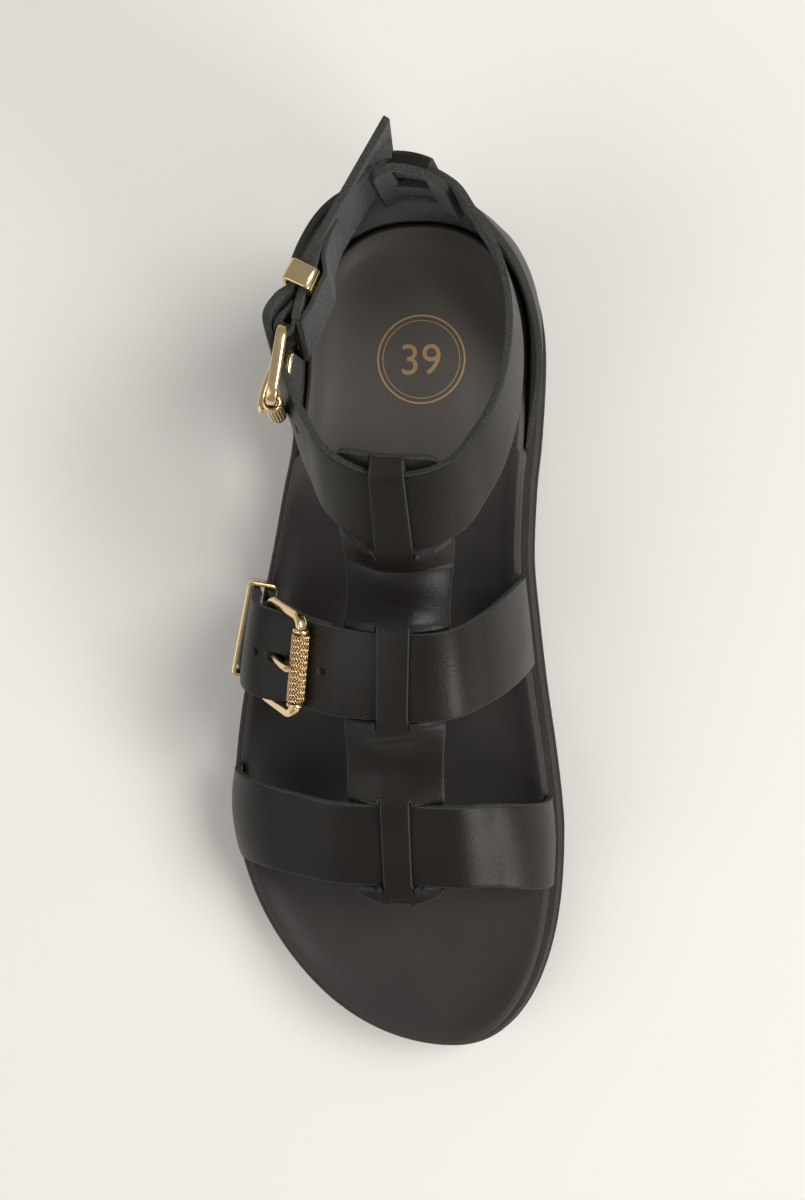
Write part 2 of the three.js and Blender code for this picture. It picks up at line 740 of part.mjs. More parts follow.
function makeProng() {
  const { eye, width, shank } = PRONG;
  const rest = BUCKLE.roller + 0.25 + shank;
  const course = [
    { x: 0, z: 1.95, radius: 0.35 },
    { x: 2.2, z: 2.35, radius: 0.8 },
    { x: 7, z: 2.9, radius: shank },
    { x: 17, z: 3.6, radius: shank },
    { x: 20, z: rest, radius: shank },
    { x: 21.6, z: rest - 0.1, radius: shank * 0.55 },
  ];
  const path = course.map(({ x, z }) => new THREE.Vector3(x, 0, z));
  const rod = bar(path, (i) => course[i].radius, new THREE.Vector3(0, 1, 0), { capped: true });
  return sleeve(BUCKLE.wire + 0.25, eye, width).add(rod);
}

// The end of a strap folded round the hinge bar and sewn down, slit for the prong.
function makeWrap() {
  const clear = BUCKLE.wire + GAP;
  const turn = range(9, (i) => {
    const angle = -Math.PI / 2 + (Math.PI * i) / 8;
    return [clear * Math.cos(angle), clear * Math.sin(angle)];
  });
  const path = [[-6.5, -2.6], [-3, -1.9], ...turn, [-3, 0.6], [-5, -1], [-7, -2.2]];
  const leaf = (low, high) => sheet(
    path.map(([x, z]) => [high, low].map((y) => new THREE.Vector3(x, y, z))),
    { thickness: WRAP.thickness },
  );
  return leaf(WRAP.slot / 2, WRAP.width / 2).add(leaf(-WRAP.width / 2, -WRAP.slot / 2));
}

// Where a buckle sits: the matrix of its frame, found from its strap's line.
function buckleMatrix(rowAt, direction, hinge, hingeLift, rollerLift) {
  const start = axesAt(rowAt, hinge, direction);
  const origin = start.place.clone().addScaledVector(start.off, hingeLift);
  let degrees = hinge;
  let end = start;
  let roller = origin;
  while (roller.distanceTo(origin) < BUCKLE.length) {
    degrees -= 0.25 * direction;
    end = axesAt(rowAt, degrees, direction);
    roller = end.place.clone().addScaledVector(end.off, rollerLift);
  }
  const x = roller.sub(origin).normalize();
  const y = start.off.clone().add(end.off).cross(x).normalize();
  const z = x.clone().cross(y);
  return new THREE.Matrix4().makeBasis(x, y, z).setPosition(origin);
}

const INSTEP_BUCKLE = buckleMatrix(instepRow, 1, INSTEP_AT.hinge, 4.6, 7.9);
const ANKLE_BUCKLE = buckleMatrix(ringRow, -1, ANKLE_AT.hinge, 0.4, 6.1);

// ---------------------------------------------------------------- keepers
// A flat metal loop round both layers of a fastened strap.
const KEEPER = { inside: 27.9, wall: 1.2, breadth: 6.2 };

function makeKeeper(height) {
  const { inside, wall, breadth } = KEEPER;
  const outer = new THREE.BoxGeometry(inside + 2 * wall, height + 2 * wall, breadth);
  return solidOf(outer).subtract(solidOf(new THREE.BoxGeometry(inside, height, 2 * breadth)));
}

function keeperMatrix(rowAt, direction, degrees, lift) {
  const { place, along, across, off } = axesAt(rowAt, degrees, direction);
  return new THREE.Matrix4().makeBasis(across, off, across.clone().cross(off))
    .setPosition(place.addScaledVector(off, lift));
}

// ---------------------------------------------------------------- assembly
function moved(body, matrix) {
  return body.transform(matrix.toArray());
}

const toe = makeToeStrap();
const instep = makeInstepStrap();
const buckleStrap = makeBuckleStrap();
const ankle = makeAnkleStrap();
const counter = counterRows();
const END_ROWS = 10;             // the rows of a strap's end, up past the footbed's rim
const pockets = [
  toe.rows.slice(0, END_ROWS),
  toe.rows.slice(-END_ROWS),
  instep.rows.slice(0, END_ROWS),
  buckleStrap.rows.slice(-END_ROWS),
  counter,
].map((rows) => sheet(rows, { grow: GAP }));

function makeUpper() {
  const { hole } = PRONG;
  const punch = solidOf(new THREE.BoxGeometry(hole.to - hole.from, hole.width, 14)
    .translate((hole.from + hole.to) / 2, 0, 4));
  const strip = sheet(stripRows(stripHalf, STRIP.frontEnd, STRIP.rearEnd, 4.6, STRIP_STEPS.whole));
  const band = sheet(ankle.rows, { lift: ankle.lift }).add(moved(makeWrap(), ANKLE_BUCKLE));
  return filled(joined([
    sheet(toe.rows, { lift: toe.lift }),
    sheet(instep.rows, { lift: instep.lift }).subtract(moved(punch, INSTEP_BUCKLE)),
    band.subtract(moved(punch, ANKLE_BUCKLE)),
    sheet(counter),
    makeTab(),
    strip,
    makeBridge(TOE_STRAP.rear.crest, TOE_STRAP.front.crest),
    makeBridge(INSTEP_STRAP.rear.crest, INSTEP_STRAP.front.crest),
    makeBridge(RING_FRONT, RING_FRONT + RING_FRONT_RUN),
  ]));
}

function mesh(name, body, colour, roughness, metalness = 0) {
  const { vertProperties, triVerts } = body.getMesh();
  const geometry = new THREE.BufferGeometry();
  geometry.setAttribute('position', new THREE.BufferAttribute(vertProperties, 3));
  geometry.setIndex(new THREE.BufferAttribute(triVerts, 1));
  geometry.computeVertexNormals();
  const made = new THREE.Mesh(
    geometry, new THREE.MeshStandardMaterial({ color: colour, roughness, metalness }));
  made.name = name;
  return made;
}

const BLACK_LEATHER = ['#35312f', 0.45];
const GOLD = ['#e6c48e', 0.22, 1];

function buckleGroup(name, matrix) {
  const group = new THREE.Group();
  const roller = sleeve(BUCKLE.wire + GAP, BUCKLE.roller, BUCKLE.rollerLength)
    .translate([BUCKLE.length, 0, 0]);
  group.add(
    mesh(name + '_buckle_frame', makeFrame(), ...GOLD),
    mesh(name + '_buckle_roller', roller, ...GOLD),
    mesh(name + '_buckle_prong', makeProng(), ...GOLD),
  );
  group.applyMatrix4(matrix);
  return group;
}

function keeper(name, height, matrix) {
  const made = mesh(name, makeKeeper(height), ...GOLD);
  made.applyMatrix4(matrix);
  return made;
}

const shoe = new THREE.Group();
shoe.add(
  mesh('outsole', makeOutsole(), '#1d1917', 0.75),
  mesh('midsole', makeMidsole(), '#2b2826', 0.6),
  mesh('footbed', makeFootbed(pockets), '#1f1d1c', 0.7),
  mesh('upper', makeUpper(), ...BLACK_LEATHER),
  mesh('instep_buckle_strap', sheet(buckleStrap.rows).add(moved(makeWrap(), INSTEP_BUCKLE)),
    ...BLACK_LEATHER),
  buckleGroup('instep', INSTEP_BUCKLE),
  keeper('instep_keeper', 6.9, keeperMatrix(instepRow, 1, INSTEP_AT.keeper, 3.0)),
  buckleGroup('ankle', ANKLE_BUCKLE),
  keeper('ankle_keeper', 6.2, keeperMatrix(ringRow, -1, ANKLE_AT.keeper, -1.3)),
);

// The origin is the middle of the underside of the whole shoe's box.
const box = new THREE.Box3().setFromObject(shoe, true);
const middleOfBox = box.getCenter(new THREE.Vector3());
shoe.position.set(-middleOfBox.x, -middleOfBox.y, -box.min.z);

export default shoe;
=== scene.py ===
"""A black leather gladiator sandal for the right foot, size 39, with gold-coloured roller
buckles. Sizes are in millimetres in the shoe's own directions: x towards the inner side of
the foot, and a station, the distance from the back of the heel towards the toe."""

import math

import bmesh
import bpy
import numpy as np
from mathutils import Matrix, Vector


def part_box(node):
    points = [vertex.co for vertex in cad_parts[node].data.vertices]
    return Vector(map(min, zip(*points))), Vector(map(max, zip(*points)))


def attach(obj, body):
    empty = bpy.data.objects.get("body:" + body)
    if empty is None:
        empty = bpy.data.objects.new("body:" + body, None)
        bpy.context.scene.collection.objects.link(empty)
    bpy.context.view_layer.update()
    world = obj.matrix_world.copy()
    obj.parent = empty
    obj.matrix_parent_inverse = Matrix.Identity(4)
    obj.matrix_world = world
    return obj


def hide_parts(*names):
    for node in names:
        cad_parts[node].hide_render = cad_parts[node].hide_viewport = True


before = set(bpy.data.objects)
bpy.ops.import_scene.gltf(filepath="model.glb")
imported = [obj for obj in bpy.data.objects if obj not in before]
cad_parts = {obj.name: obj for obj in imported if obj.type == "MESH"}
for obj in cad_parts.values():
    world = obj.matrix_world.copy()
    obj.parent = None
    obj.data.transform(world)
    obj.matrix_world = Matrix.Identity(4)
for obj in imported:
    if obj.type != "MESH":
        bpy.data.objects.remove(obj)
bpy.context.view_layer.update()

# ---------------------------------------------------------------- outsole
# A unit sole of black foamed rubber, moulded in one with its low heel, arch, toe spring
# and cross lugs, and glued under the midsole. The skin is matte with a faint mould bloom.
SOLE_LENGTH = 262.0
GAP = 0.3                        # between two layers that meet
HEEL_END = {"station": 46.0, "half": 39.0, "power": 2.3}
TOE_TIP_X = 8.2
TOE_END = {"inner": (194.0, 2.4), "outer": (184.0, 1.9)}


def table(names, *rows):
    """A table as named columns."""
    return {name: np.array(values, float) for name, values in zip(names.split(), zip(*rows))}


OUTLINE = table(
    "at inner outer",
    (46, 39.0, -39.1), (71, 37.8, -41.4), (86, 36.3, -44.6), (106, 35.5, -48.7),
    (127, 37.2, -53.6), (147, 39.5, -58.1), (168, 42.5, -61.1), (184, 44.4, -62.3),
    (194, 45.1, -62.3),
)
PROFILE = table(
    "at under ledge",
    (0, 1.2, 24.0), (7, 0, 23.8), (67, 0, 22.5), (79, 4.5, 21.6), (106, 3.8, 18.8),
    (138, 0, 15.6), (199, 0, 14.4), (232, 2.4, 16.4), (262, 8, 21.5),
)
MIDSOLE_THICKNESS = 4.2
TREAD = {"depth": 2.2, "groove": 3.2, "pitch": 9.5, "border": 7.0, "overlap": 0.4}
TREAD_ZONES = ((12.0, 60.0), (142.0, 222.0))
SPINE = (40.0, 222.0)            # stations between which a layer's middle line runs


def column(rows, name, at):
    """One column of a table between its rows, smooth and without overshoot."""
    x, y = rows["at"], rows[name]
    slope = np.diff(y) / np.diff(x)
    both = slope[:-1] * slope[1:]
    tangent = np.zeros(len(x))
    tangent[1:-1] = np.where(both > 0, 2 * both / np.where(both > 0, slope[:-1] + slope[1:], 1), 0)
    place = np.clip(at, x[0], x[-1])
    row = np.clip(np.searchsorted(x, place) - 1, 0, len(x) - 2)
    span = x[row + 1] - x[row]
    t = (place - x[row]) / span
    rise = y[row + 1] - y[row]
    a, b = tangent[row] * span, tangent[row + 1] * span
    return y[row] + a * t + (3 * rise - 2 * a - b) * t**2 + (a + b - 2 * rise) * t**3


def quarter(u, power):
    """A superellipse quarter: 1 at u = 0, falling to 0 at u = 1."""
    return (1 - np.clip(np.abs(u), 0, 1) ** power) ** (1 / power)


def mix(a, b, t):
    return a + (b - a) * t


def ramp(start, end, value):
    """0 before the start, 1 after the end, smooth between."""
    t = np.clip((value - start) / (end - start), 0, 1)
    return t * t * (3 - 2 * t)


def point(x, station, z):
    """Points in millimetres, +Y towards the heel."""
    return np.stack(np.broadcast_arrays(x, -np.asarray(station, float), z), axis=-1).astype(float)


def edge_x(station, side):
    """The sole's edge at a station."""
    station = np.asarray(station, float)
    hand = 1 if side == "inner" else -1
    start, power = TOE_END[side]
    back = (HEEL_END["station"] - station) / HEEL_END["station"]
    heel = hand * HEEL_END["half"] * quarter(back, HEEL_END["power"])
    on = quarter((station - start) / (SOLE_LENGTH - start), power)
    toe = mix(TOE_TIP_X, column(OUTLINE, side, start), on)
    middle = np.where(station <= start, column(OUTLINE, side, station), toe)
    return np.where(station < HEEL_END["station"], heel, middle)


def outline_point(turn):
    """Round the outline: 0 is the back of the heel, the outer side comes first, 1 is the toe."""
    at = np.mod(turn, 2)
    station = SOLE_LENGTH / 2 * (1 - np.cos(math.pi * at))
    return point(np.where(at < 1, edge_x(station, "outer"), edge_x(station, "inner")), station, 0)


def turn_at(station):
    return math.acos(1 - 2 * station / SOLE_LENGTH) / math.pi


def inset_point(turn, inset):
    """The outline moved inward by an inset, in the ground plane."""
    nearby = 0.0067
    run = unit(outline_point(turn + nearby) - outline_point(turn - nearby))
    inward = np.stack([-run[..., 1], run[..., 0], 0 * run[..., 0]], axis=-1)
    return outline_point(turn) + inward * np.asarray(inset, float)[..., None]


def spine_point(turn):
    station = np.clip(-outline_point(turn)[..., 1], *SPINE)
    return point((edge_x(station, "inner") + edge_x(station, "outer")) / 2, station, 0)


def ledge(station):
    return column(PROFILE, "ledge", station)


def under(station):
    return column(PROFILE, "under", station)


# The middle of the whole shoe's box is the frame's origin. The outline's own box is worked
# out here as the CAD's sixty points give it, so that both meet.
cad_outline = outline_point(np.arange(60) / 30)
SHIFT = np.array([
    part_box("outsole")[0][0] * 1000 - cad_outline[:, 0].min(),
    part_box("outsole")[1][1] * 1000 - cad_outline[:, 1].max(),
    0,
])


def softened(loops):
    """Loops with the corners between them cut off."""
    cut = np.stack([mix(loops[:-1], loops[1:], 0.25), mix(loops[:-1], loops[1:], 0.75)], axis=1)
    return np.concatenate([loops[:1], cut.reshape(-1, *loops.shape[1:]), loops[-1:]])


def sole_layer(rings, turns):
    """Loops of a layer of the sole. Each ring is an inset from the outline, or None for the
    middle line, with a height; the list runs over the underside, up and over the top."""
    loops = []
    for inset, height in rings:
        place = spine_point(turns) if inset is None else inset_point(turns, inset + 0 * turns)
        place[:, 2] = height(-place[:, 1])
        loops.append(place)
    return softened(np.array(loops))


def sheet_faces(rows, columns, start=0, closed=False):
    """Quads over a grid of points, wrapping round from the last column where closed."""
    faces = []
    for i in range(rows - 1):
        for j in range(columns if closed else columns - 1):
            k = (j + 1) % columns
            a, b = start + i * columns, start + (i + 1) * columns
            faces.append((a + j, b + j, b + k, a + k))
    return faces


def tube_faces(rows, columns, start=0):
    return sheet_faces(rows, columns, start, closed=True)


def rod_faces(rows, columns, start=0):
    """A tube's quads with a face over each end."""
    end = start + rows * columns
    ends = [tuple(range(start, start + columns)), tuple(range(end - 1, end - columns - 1, -1))]
    return tube_faces(rows, columns, start) + ends


def joined(*parts):
    """Points and faces of several grids, each given with the function for its faces."""
    points, faces, start = [], [], 0
    for grid, faces_of in parts:
        faces += faces_of(*grid.shape[:2], start=start)
        points.append(grid.reshape(-1, 3))
        start += len(points[-1])
    return np.concatenate(points), faces


def unit(vectors):
    """Vectors made one long."""
    return vectors / np.linalg.norm(vectors, axis=-1, keepdims=True)


def put(name, data):
    """A new object in the scene."""
    made = bpy.data.objects.new(name, data)
    bpy.context.scene.collection.objects.link(made)
    return made


def plain_mesh(thing):
    """A copy of an object's mesh with its modifiers applied and taken off."""
    seen = thing.evaluated_get(bpy.context.evaluated_depsgraph_get())
    made = bpy.data.meshes.new_from_object(seen)
    thing.modifiers.clear()
    return made


def new_piece(name, points, faces, materials, shut=True):
    """An object with its place in its mesh, from points in millimetres."""
    mesh = bpy.data.meshes.new(name)
    mesh.from_pydata(((np.asarray(points).reshape(-1, 3) + SHIFT) / 1000).tolist(), [], faces)
    made = bmesh.new()
    made.from_mesh(mesh)
    bmesh.ops.remove_doubles(made, verts=made.verts, dist=2e-6)
    bmesh.ops.dissolve_degenerate(made, edges=made.edges, dist=1e-6)
    if shut:
        bmesh.ops.recalc_face_normals(made, faces=made.faces)
    made.to_mesh(mesh)
    made.free()
    for material in materials:
        mesh.materials.append(material)
    return put(name, mesh)


def finished(piece, nodes, crease=35):
    """The piece with its modifiers made plain mesh, smooth but for its corners, in place of
    the CAD nodes."""
    piece.data = plain_mesh(piece)
    piece.data.polygons.foreach_set("use_smooth", [True] * len(piece.data.polygons))
    piece.data.set_sharp_from_angle(angle=math.radians(crease))
    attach(piece, "root")
    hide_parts(*nodes)


def linear(code):
    """sRGB hex to a linear colour."""
    parts = [int(code[i:i + 2], 16) / 255 for i in (1, 3, 5)]
    return [p / 12.92 if p <= 0.04045 else ((p + 0.055) / 1.055) ** 2.4 for p in parts] + [1.0]


def add(tree, kind, inputs=None, **settings):
    """Adds a node with its settings, its inputs given as values or as outputs to link."""
    node = tree.nodes.new(kind)
    for name, value in settings.items():
        setattr(node, name, value)
    for name, value in (inputs or {}).items():
        if isinstance(value, bpy.types.NodeSocket):
            tree.links.new(value, node.inputs[name])
        else:
            node.inputs[name].default_value = value
    return node


def new_finish(name):
    """An empty material's tree, its Object coordinates, and the function that ends it."""
    material = bpy.data.materials.new(name)
    material.use_nodes = True
    tree = material.node_tree
    tree.nodes.clear()
    where = add(tree, "ShaderNodeTexCoord").outputs["Object"]

    def end(inputs, relief=None):
        """Relief is the output that gives its height, a strength and a depth in mm."""
        if relief:
            bump = add(tree, "ShaderNodeBump", {
                "Height": relief[0], "Strength": relief[1], "Distance": relief[2] / 1000})
            inputs = {**inputs, "Normal": bump.outputs[0]}
        shader = add(tree, "ShaderNodeBsdfPrincipled", inputs)
        add(tree, "ShaderNodeOutputMaterial", {"Surface": shader.outputs[0]})
        return material

    return tree, where, end


def per_mm(size):
    """The scale of a pattern whose cells are that many millimetres."""
    return 1000.0 / size


def clouded(tree, where, size, detail, dark, light):
    """Clouds of a size in millimetres, and the colour they give between two tones."""
    noise = add(tree, "ShaderNodeTexNoise", {
        "Vector": where, "Scale": per_mm(size), "Detail": detail})
    tone = add(tree, "ShaderNodeMix", {
        0: noise.outputs["Fac"], 6: linear(dark), 7: linear(light)}, data_type="RGBA")
    return noise.outputs["Fac"], tone.outputs[2]


# Foamed rubber as it leaves the mould: dull, near black, a little brown, with bloom.
tree, where, end = new_finish("moulded_black_rubber")
bloom, tone = clouded(tree, where, 14, 4.0, "#1a1413", "#2e2220")
skin = add(tree, "ShaderNodeTexNoise", {"Vector": where, "Scale": per_mm(0.7), "Detail": 3.0})
dull = add(tree, "ShaderNodeMapRange", {"Value": bloom, "To Min": 0.55, "To Max": 0.8})
OUTSOLE_RUBBER = end({"Base Color": tone, "Roughness": dull.outputs[0], "IOR": 1.5},
                     relief=(skin.outputs["Fac"], 0.35, 0.1))


def outsole_top(station):
    return ledge(station) - MIDSOLE_THICKNESS - GAP


def tread_floor(station):
    return under(station) + TREAD["depth"]


outsole_turns = np.arange(300) / 150
outsole_loops = sole_layer([
    (None, tread_floor),
    (TREAD["border"], tread_floor),
    (TREAD["border"], under),
    (1.9, under),
    (0.5, lambda s: under(s) + 1.0),
    (0, lambda s: mix(under(s), outsole_top(s), 0.45)),
    (0, lambda s: outsole_top(s) - 1.0),
    (0, lambda s: outsole_top(s) - 0.25),
    (0.4, outsole_top),
    (4, outsole_top),
    (None, outsole_top),
], outsole_turns)


def lug(start, stop):
    """Loops of one cross lug between two stations, its ends buried in the border."""
    stations = np.linspace(start, stop, max(2, int((stop - start) / 3) + 2))
    share = np.linspace(0, 1, 9)[None, :]
    reach = TREAD["border"] - TREAD["overlap"]
    outer = edge_x(stations, "outer")[:, None] + reach
    inner = edge_x(stations, "inner")[:, None] - reach
    x = mix(outer, np.maximum(inner, outer + 0.5), share)
    low = under(stations)[:, None] + 0.03
    bottom = point(x, stations[:, None], low)
    top = point(x, stations[:, None], low + TREAD["depth"] + 0.4)
    return np.concatenate([bottom, top[:, ::-1]], axis=1)


grooves = [s for start, stop in TREAD_ZONES for s in np.arange(start, stop + 0.1, TREAD["pitch"])]
lug_edges = [8.0] + [s + side * TREAD["groove"] / 2 for s in grooves for side in (-1, 1)] + [250.0]
lugs = [(lug(*edges), rod_faces) for edges in zip(lug_edges[::2], lug_edges[1::2])]
outsole = new_piece("rubber_outsole", *joined((outsole_loops, tube_faces), *lugs), [OUTSOLE_RUBBER])
finished(outsole, ["outsole"])

# ---------------------------------------------------------------- midsole
# The welt layer, a sheet of firm black foam rubber glued on the outsole. Its bevelled top
# edge is the ledge round the shoe; the cut bevel is a little lighter and finely pebbled.
MIDSOLE = {"inset": 0.8, "bevel": 0.8}

tree, where, end = new_finish("pebbled_welt_rubber")
pebble = add(tree, "ShaderNodeTexVoronoi", {"Vector": where, "Scale": per_mm(0.8)})
_, tone = clouded(tree, where, 9, 5.0, "#211e1c", "#3a3532")
WELT_RUBBER = end({"Base Color": tone, "Roughness": 0.56, "IOR": 1.5},
                  relief=(pebble.outputs["Distance"], 0.4, 0.18))


def midsole_bottom(station):
    return ledge(station) - MIDSOLE_THICKNESS


midsole_turns = np.arange(360) / 180
inset, bevel = MIDSOLE["inset"], MIDSOLE["bevel"]
midsole_loops = sole_layer([
    (None, midsole_bottom),
    (inset + 3, midsole_bottom),
    (inset + 0.2, midsole_bottom),
    (inset, lambda s: midsole_bottom(s) + 0.5),
    (inset, lambda s: ledge(s) - bevel - 0.3),
    (inset, lambda s: ledge(s) - bevel),
    (inset + bevel, ledge),
    (inset + bevel + 0.4, ledge),
    (8, ledge),
    (None, ledge),
], midsole_turns)
midsole = new_piece("welt_midsole", *joined((midsole_loops, tube_faces)), [WELT_RUBBER])
finished(midsole, ["midsole"])

# ---------------------------------------------------------------- footbed
# A moulded foam insole wrapped in matte black leather, with a raised round rim and a
# hollowed bed. It is glued on the midsole over the straps' turned ends and gives way
# beside each strap. Towards the heel the bed is painted lighter: painted light that
# stands in for the light the ankle ring keeps off it.
FOOTBED_INSET = 4.0
FOOTBED = table(
    "at rim bed",
    (0, 10.5, 5.6), (60, 10.5, 5.2), (110, 10.5, 6.2), (160, 8.0, 5.0), (210, 7.4, 4.8),
    (258, 7.4, 5.2),
)
FOOTBED_SECTION = table(         # share of the rise from bed to rim, by distance inward
    "at share",
    (0.5, 0.85), (1.7, 1.0), (3.2, 0.88), (7, 0.4), (12, 0.1), (18, 0.0),
)
STRAP_ENDS = (                   # side, and stations, of each strap that the footbed clears
    ("inner", 182, 209), ("outer", 173, 200), ("inner", 113.5, 140.5), ("outer", 115.5, 141),
    ("inner", -9, 74), ("outer", -9, 74),
)
POCKET = {"inset": 1.25, "rise": 2.5, "margin": 0.4, "ease": 1.6}

tree, where, end = new_finish("matte_insole_leather")
pores = add(tree, "ShaderNodeTexVoronoi", {"Vector": where, "Scale": per_mm(0.55)})
fine = add(tree, "ShaderNodeTexNoise", {"Vector": where, "Scale": per_mm(0.5), "Detail": 4.0})
cloud, tone = clouded(tree, where, 22, 6.0, "#262321", "#302c2a")
place = add(tree, "ShaderNodeSeparateXYZ", {0: where})
# Painted light: the bed's colour is mixed towards a lighter grey towards the heel, in place of the light
# that the ankle ring's shade keeps off it.
painted_heel_light = add(tree, "ShaderNodeMapRange", {
    "Value": place.outputs["Y"], "From Min": 0.03, "From Max": 0.07, "To Max": 0.8},
    interpolation_type="SMOOTHSTEP")
tone = add(tree, "ShaderNodeMix", {
    0: painted_heel_light.outputs[0], 6: tone, 7: linear("#5a5550")}, data_type="RGBA")
worn = add(tree, "ShaderNodeMapRange", {
    "Value": cloud, "From Min": 0.3, "From Max": 0.7, "To Min": 0.5, "To Max": 0.6})
height = add(tree, "ShaderNodeMath", {
    0: pores.outputs["Distance"], 1: fine.outputs["Fac"]}, operation="ADD")
INSOLE_LEATHER = end({"Base Color": tone.outputs[2], "Roughness": worn.outputs[0], "IOR": 1.46},
                     relief=(height.outputs[0], 0.22, 0.12))


def footbed_height(station, share):
    """The footbed's top at a share of the way from its bed to its rim."""
    bed, rim = column(FOOTBED, "bed", station), column(FOOTBED, "rim", station)
    return ledge(station) + mix(bed, rim, share)


def pocketed(turns):
    """1 beside a strap's end and 0 elsewhere, round the outline."""
    station = -outline_point(turns)[:, 1]
    side = np.where(np.mod(turns, 2) < 1, "outer", "inner")
    room = np.zeros(len(turns))
    for hand, start, stop in STRAP_ENDS:
        start, stop = start - POCKET["margin"], stop + POCKET["margin"]
        here = ramp(start - POCKET["ease"], start, station) * ramp(stop + POCKET["ease"], stop, station)
        room = np.maximum(room, np.where(side == hand, here, 0))
    return room


footbed_turns = np.arange(720) / 360
room = pocketed(footbed_turns)


def footbed_ring(inset, height, give=1.0):
    place = inset_point(footbed_turns, FOOTBED_INSET + inset + give * POCKET["inset"] * room)
    place[:, 2] = height(-place[:, 1])
    return place


def footbed_base(station):
    return ledge(station) + GAP


base_rings = [spine_point(footbed_turns), footbed_ring(9, footbed_base), footbed_ring(0.9, footbed_base)]
base_rings[0][:, 2] = footbed_base(-base_rings[0][:, 1])
for ring in base_rings[1:]:
    ring[:, 2] += POCKET["rise"] * room
wall = [
    footbed_ring(0, lambda s: footbed_base(s) + 3.0),
    footbed_ring(0, lambda s: footbed_height(s, 0.4)),
    footbed_ring(0.08, lambda s: footbed_height(s, 0.66)),
]
crest = [
    footbed_ring(inset, lambda s, at=inset: footbed_height(s, column(FOOTBED_SECTION, "share", at)),
                 give=max(0.0, 1 - inset / 7))
    for inset in (0.5, 1.0, 1.7, 2.4, 3.2, 4.2, 5.5, 7, 8.5, 10, 12, 14, 16, 18)
]
bed = []
for t in np.linspace(0.12, 1, 9):
    ring = mix(crest[-1], spine_point(footbed_turns), t)
    ring[:, 2] = footbed_height(-ring[:, 1], -0.08 * ramp(0, 1, t))
    bed.append(ring)
footbed_loops = softened(np.array(base_rings + wall + crest + bed))
footbed = new_piece("moulded_footbed", *joined((footbed_loops, tube_faces)), [INSOLE_LEATHER])
finished(footbed, ["footbed"], crease=50)

# ---------------------------------------------------------------- size mark
# Gold foil stamped into the footbed at the heel: two plain rings with the size in them.
# The foil is a hair above the leather so that it shows.
MARK = {"x": 1.0, "station": 46.0, "rings": ((13.4, 0.55), (11.9, 0.28)), "digits": 9.5, "foil": 0.08}

tree, where, end = new_finish("stamped_gold_foil")
_, tone = clouded(tree, where, 0.9, 3.0, "#ab8a62", "#cfae82")
GOLD_FOIL = end({"Base Color": tone, "Metallic": 0.6, "Roughness": 0.5})


def on_footbed(x, station):
    """The footbed's top at places on the bed, with the foil's thickness."""
    found = []
    for place in point(x, station, 60):
        start = (place + SHIFT) / 1000
        hit = footbed.ray_cast(start, (0, 0, -1))[1]
        found.append((place[0], place[1], hit.z * 1000 + MARK["foil"]))
    return np.array(found)


rings = []
around = np.linspace(0, 2 * math.pi, 96, endpoint=False)
for radius, stroke in MARK["rings"]:
    ring = [on_footbed(MARK["x"] + r * np.cos(around), MARK["station"] - r * np.sin(around))
            for r in (radius - stroke / 2, radius + stroke / 2)]
    rings.append((np.array(ring), tube_faces))
mark_points, mark_faces = joined(*rings)
text = bpy.data.curves.new("size_digits", "FONT")
text.body, text.size, text.align_x, text.align_y = "39", MARK["digits"] * 1.4, "CENTER", "CENTER"
text.resolution_u = 6
digits = put("size_digits", text)
flat = plain_mesh(digits)
bpy.data.objects.remove(digits)
drawn = np.array([v.co[:] for v in flat.vertices])
drawn -= (drawn.min(axis=0) + drawn.max(axis=0)) / 2
drawn = on_footbed(MARK["x"] + drawn[:, 0], MARK["station"] - drawn[:, 1])
mark_faces += [tuple(len(mark_points) + v for v in face.vertices) for face in flat.polygons]
bpy.data.meshes.remove(flat)
mark = new_piece(
    "gold_size_mark", np.concatenate([mark_points, drawn]), mark_faces, [GOLD_FOIL], shut=False)
thick = mark.modifiers.new("foil", "SOLIDIFY")
thick.thickness, thick.offset = MARK["foil"] / 1000, -1
finished(mark, ["footbed"])

# ---------------------------------------------------------------- toe strap
# Straps are cut from one hide 2 mm thick, black and smooth on the grain side, with raw
# edges and a grey suede flesh side. The toe strap's ends are turned in under the footbed.
LEATHER = 2.0
LAYER = 1.9                      # how far a strap is lifted by another that it crosses
CUT = 0.3                        # the soft corner of a cut edge
LAST = table(
    "at height",
    (67, 122), (79, 105.5), (84, 100), (95, 90), (106, 83.5), (127, 79), (151, 71),
    (171, 60.5), (191, 51.5), (213, 45.5),
)
LAST_POWER = table("at inner outer", (151, 2.25, 1.9), (185, 2.6, 2.4))
CREST_X = 2.4
STRAP_INSET = 4.7
TUCK = {"length": 8.0, "fillet": 1.0}
TOE_STRAP = {"rear": (182, 178, 173), "front": (209, 203.6, 200)}    # inner, crest, outer
TOE_LIFT = table("at lift", (58, 0), (78, LAYER), (109, LAYER), (128, 0))

# Full-grain leather with a satin finish: fine grain, faint clouding, soft wide highlights.
tree, where, end = new_finish("black_strap_leather")
cells = add(tree, "ShaderNodeTexVoronoi", {
    "Vector": where, "Scale": per_mm(0.75), "Smoothness": 0.6}, feature="SMOOTH_F1")
fine = add(tree, "ShaderNodeTexNoise", {"Vector": where, "Scale": per_mm(0.9), "Detail": 5.0})
pull = add(tree, "ShaderNodeMapping", {"Vector": where, "Scale": (1.0, 0.35, 1.0)})
folds = add(tree, "ShaderNodeTexNoise", {
    "Vector": pull.outputs[0], "Scale": per_mm(3.2), "Detail": 4.0, "Distortion": 0.6})
cloud, tone = clouded(tree, where, 18, 6.0, "#110e0b", "#1c1814")
worn = add(tree, "ShaderNodeMapRange", {
    "Value": cloud, "From Min": 0.3, "From Max": 0.7, "To Min": 0.39, "To Max": 0.46})
height = add(tree, "ShaderNodeMath", {
    0: cells.outputs["Distance"], 1: fine.outputs["Fac"]}, operation="ADD")
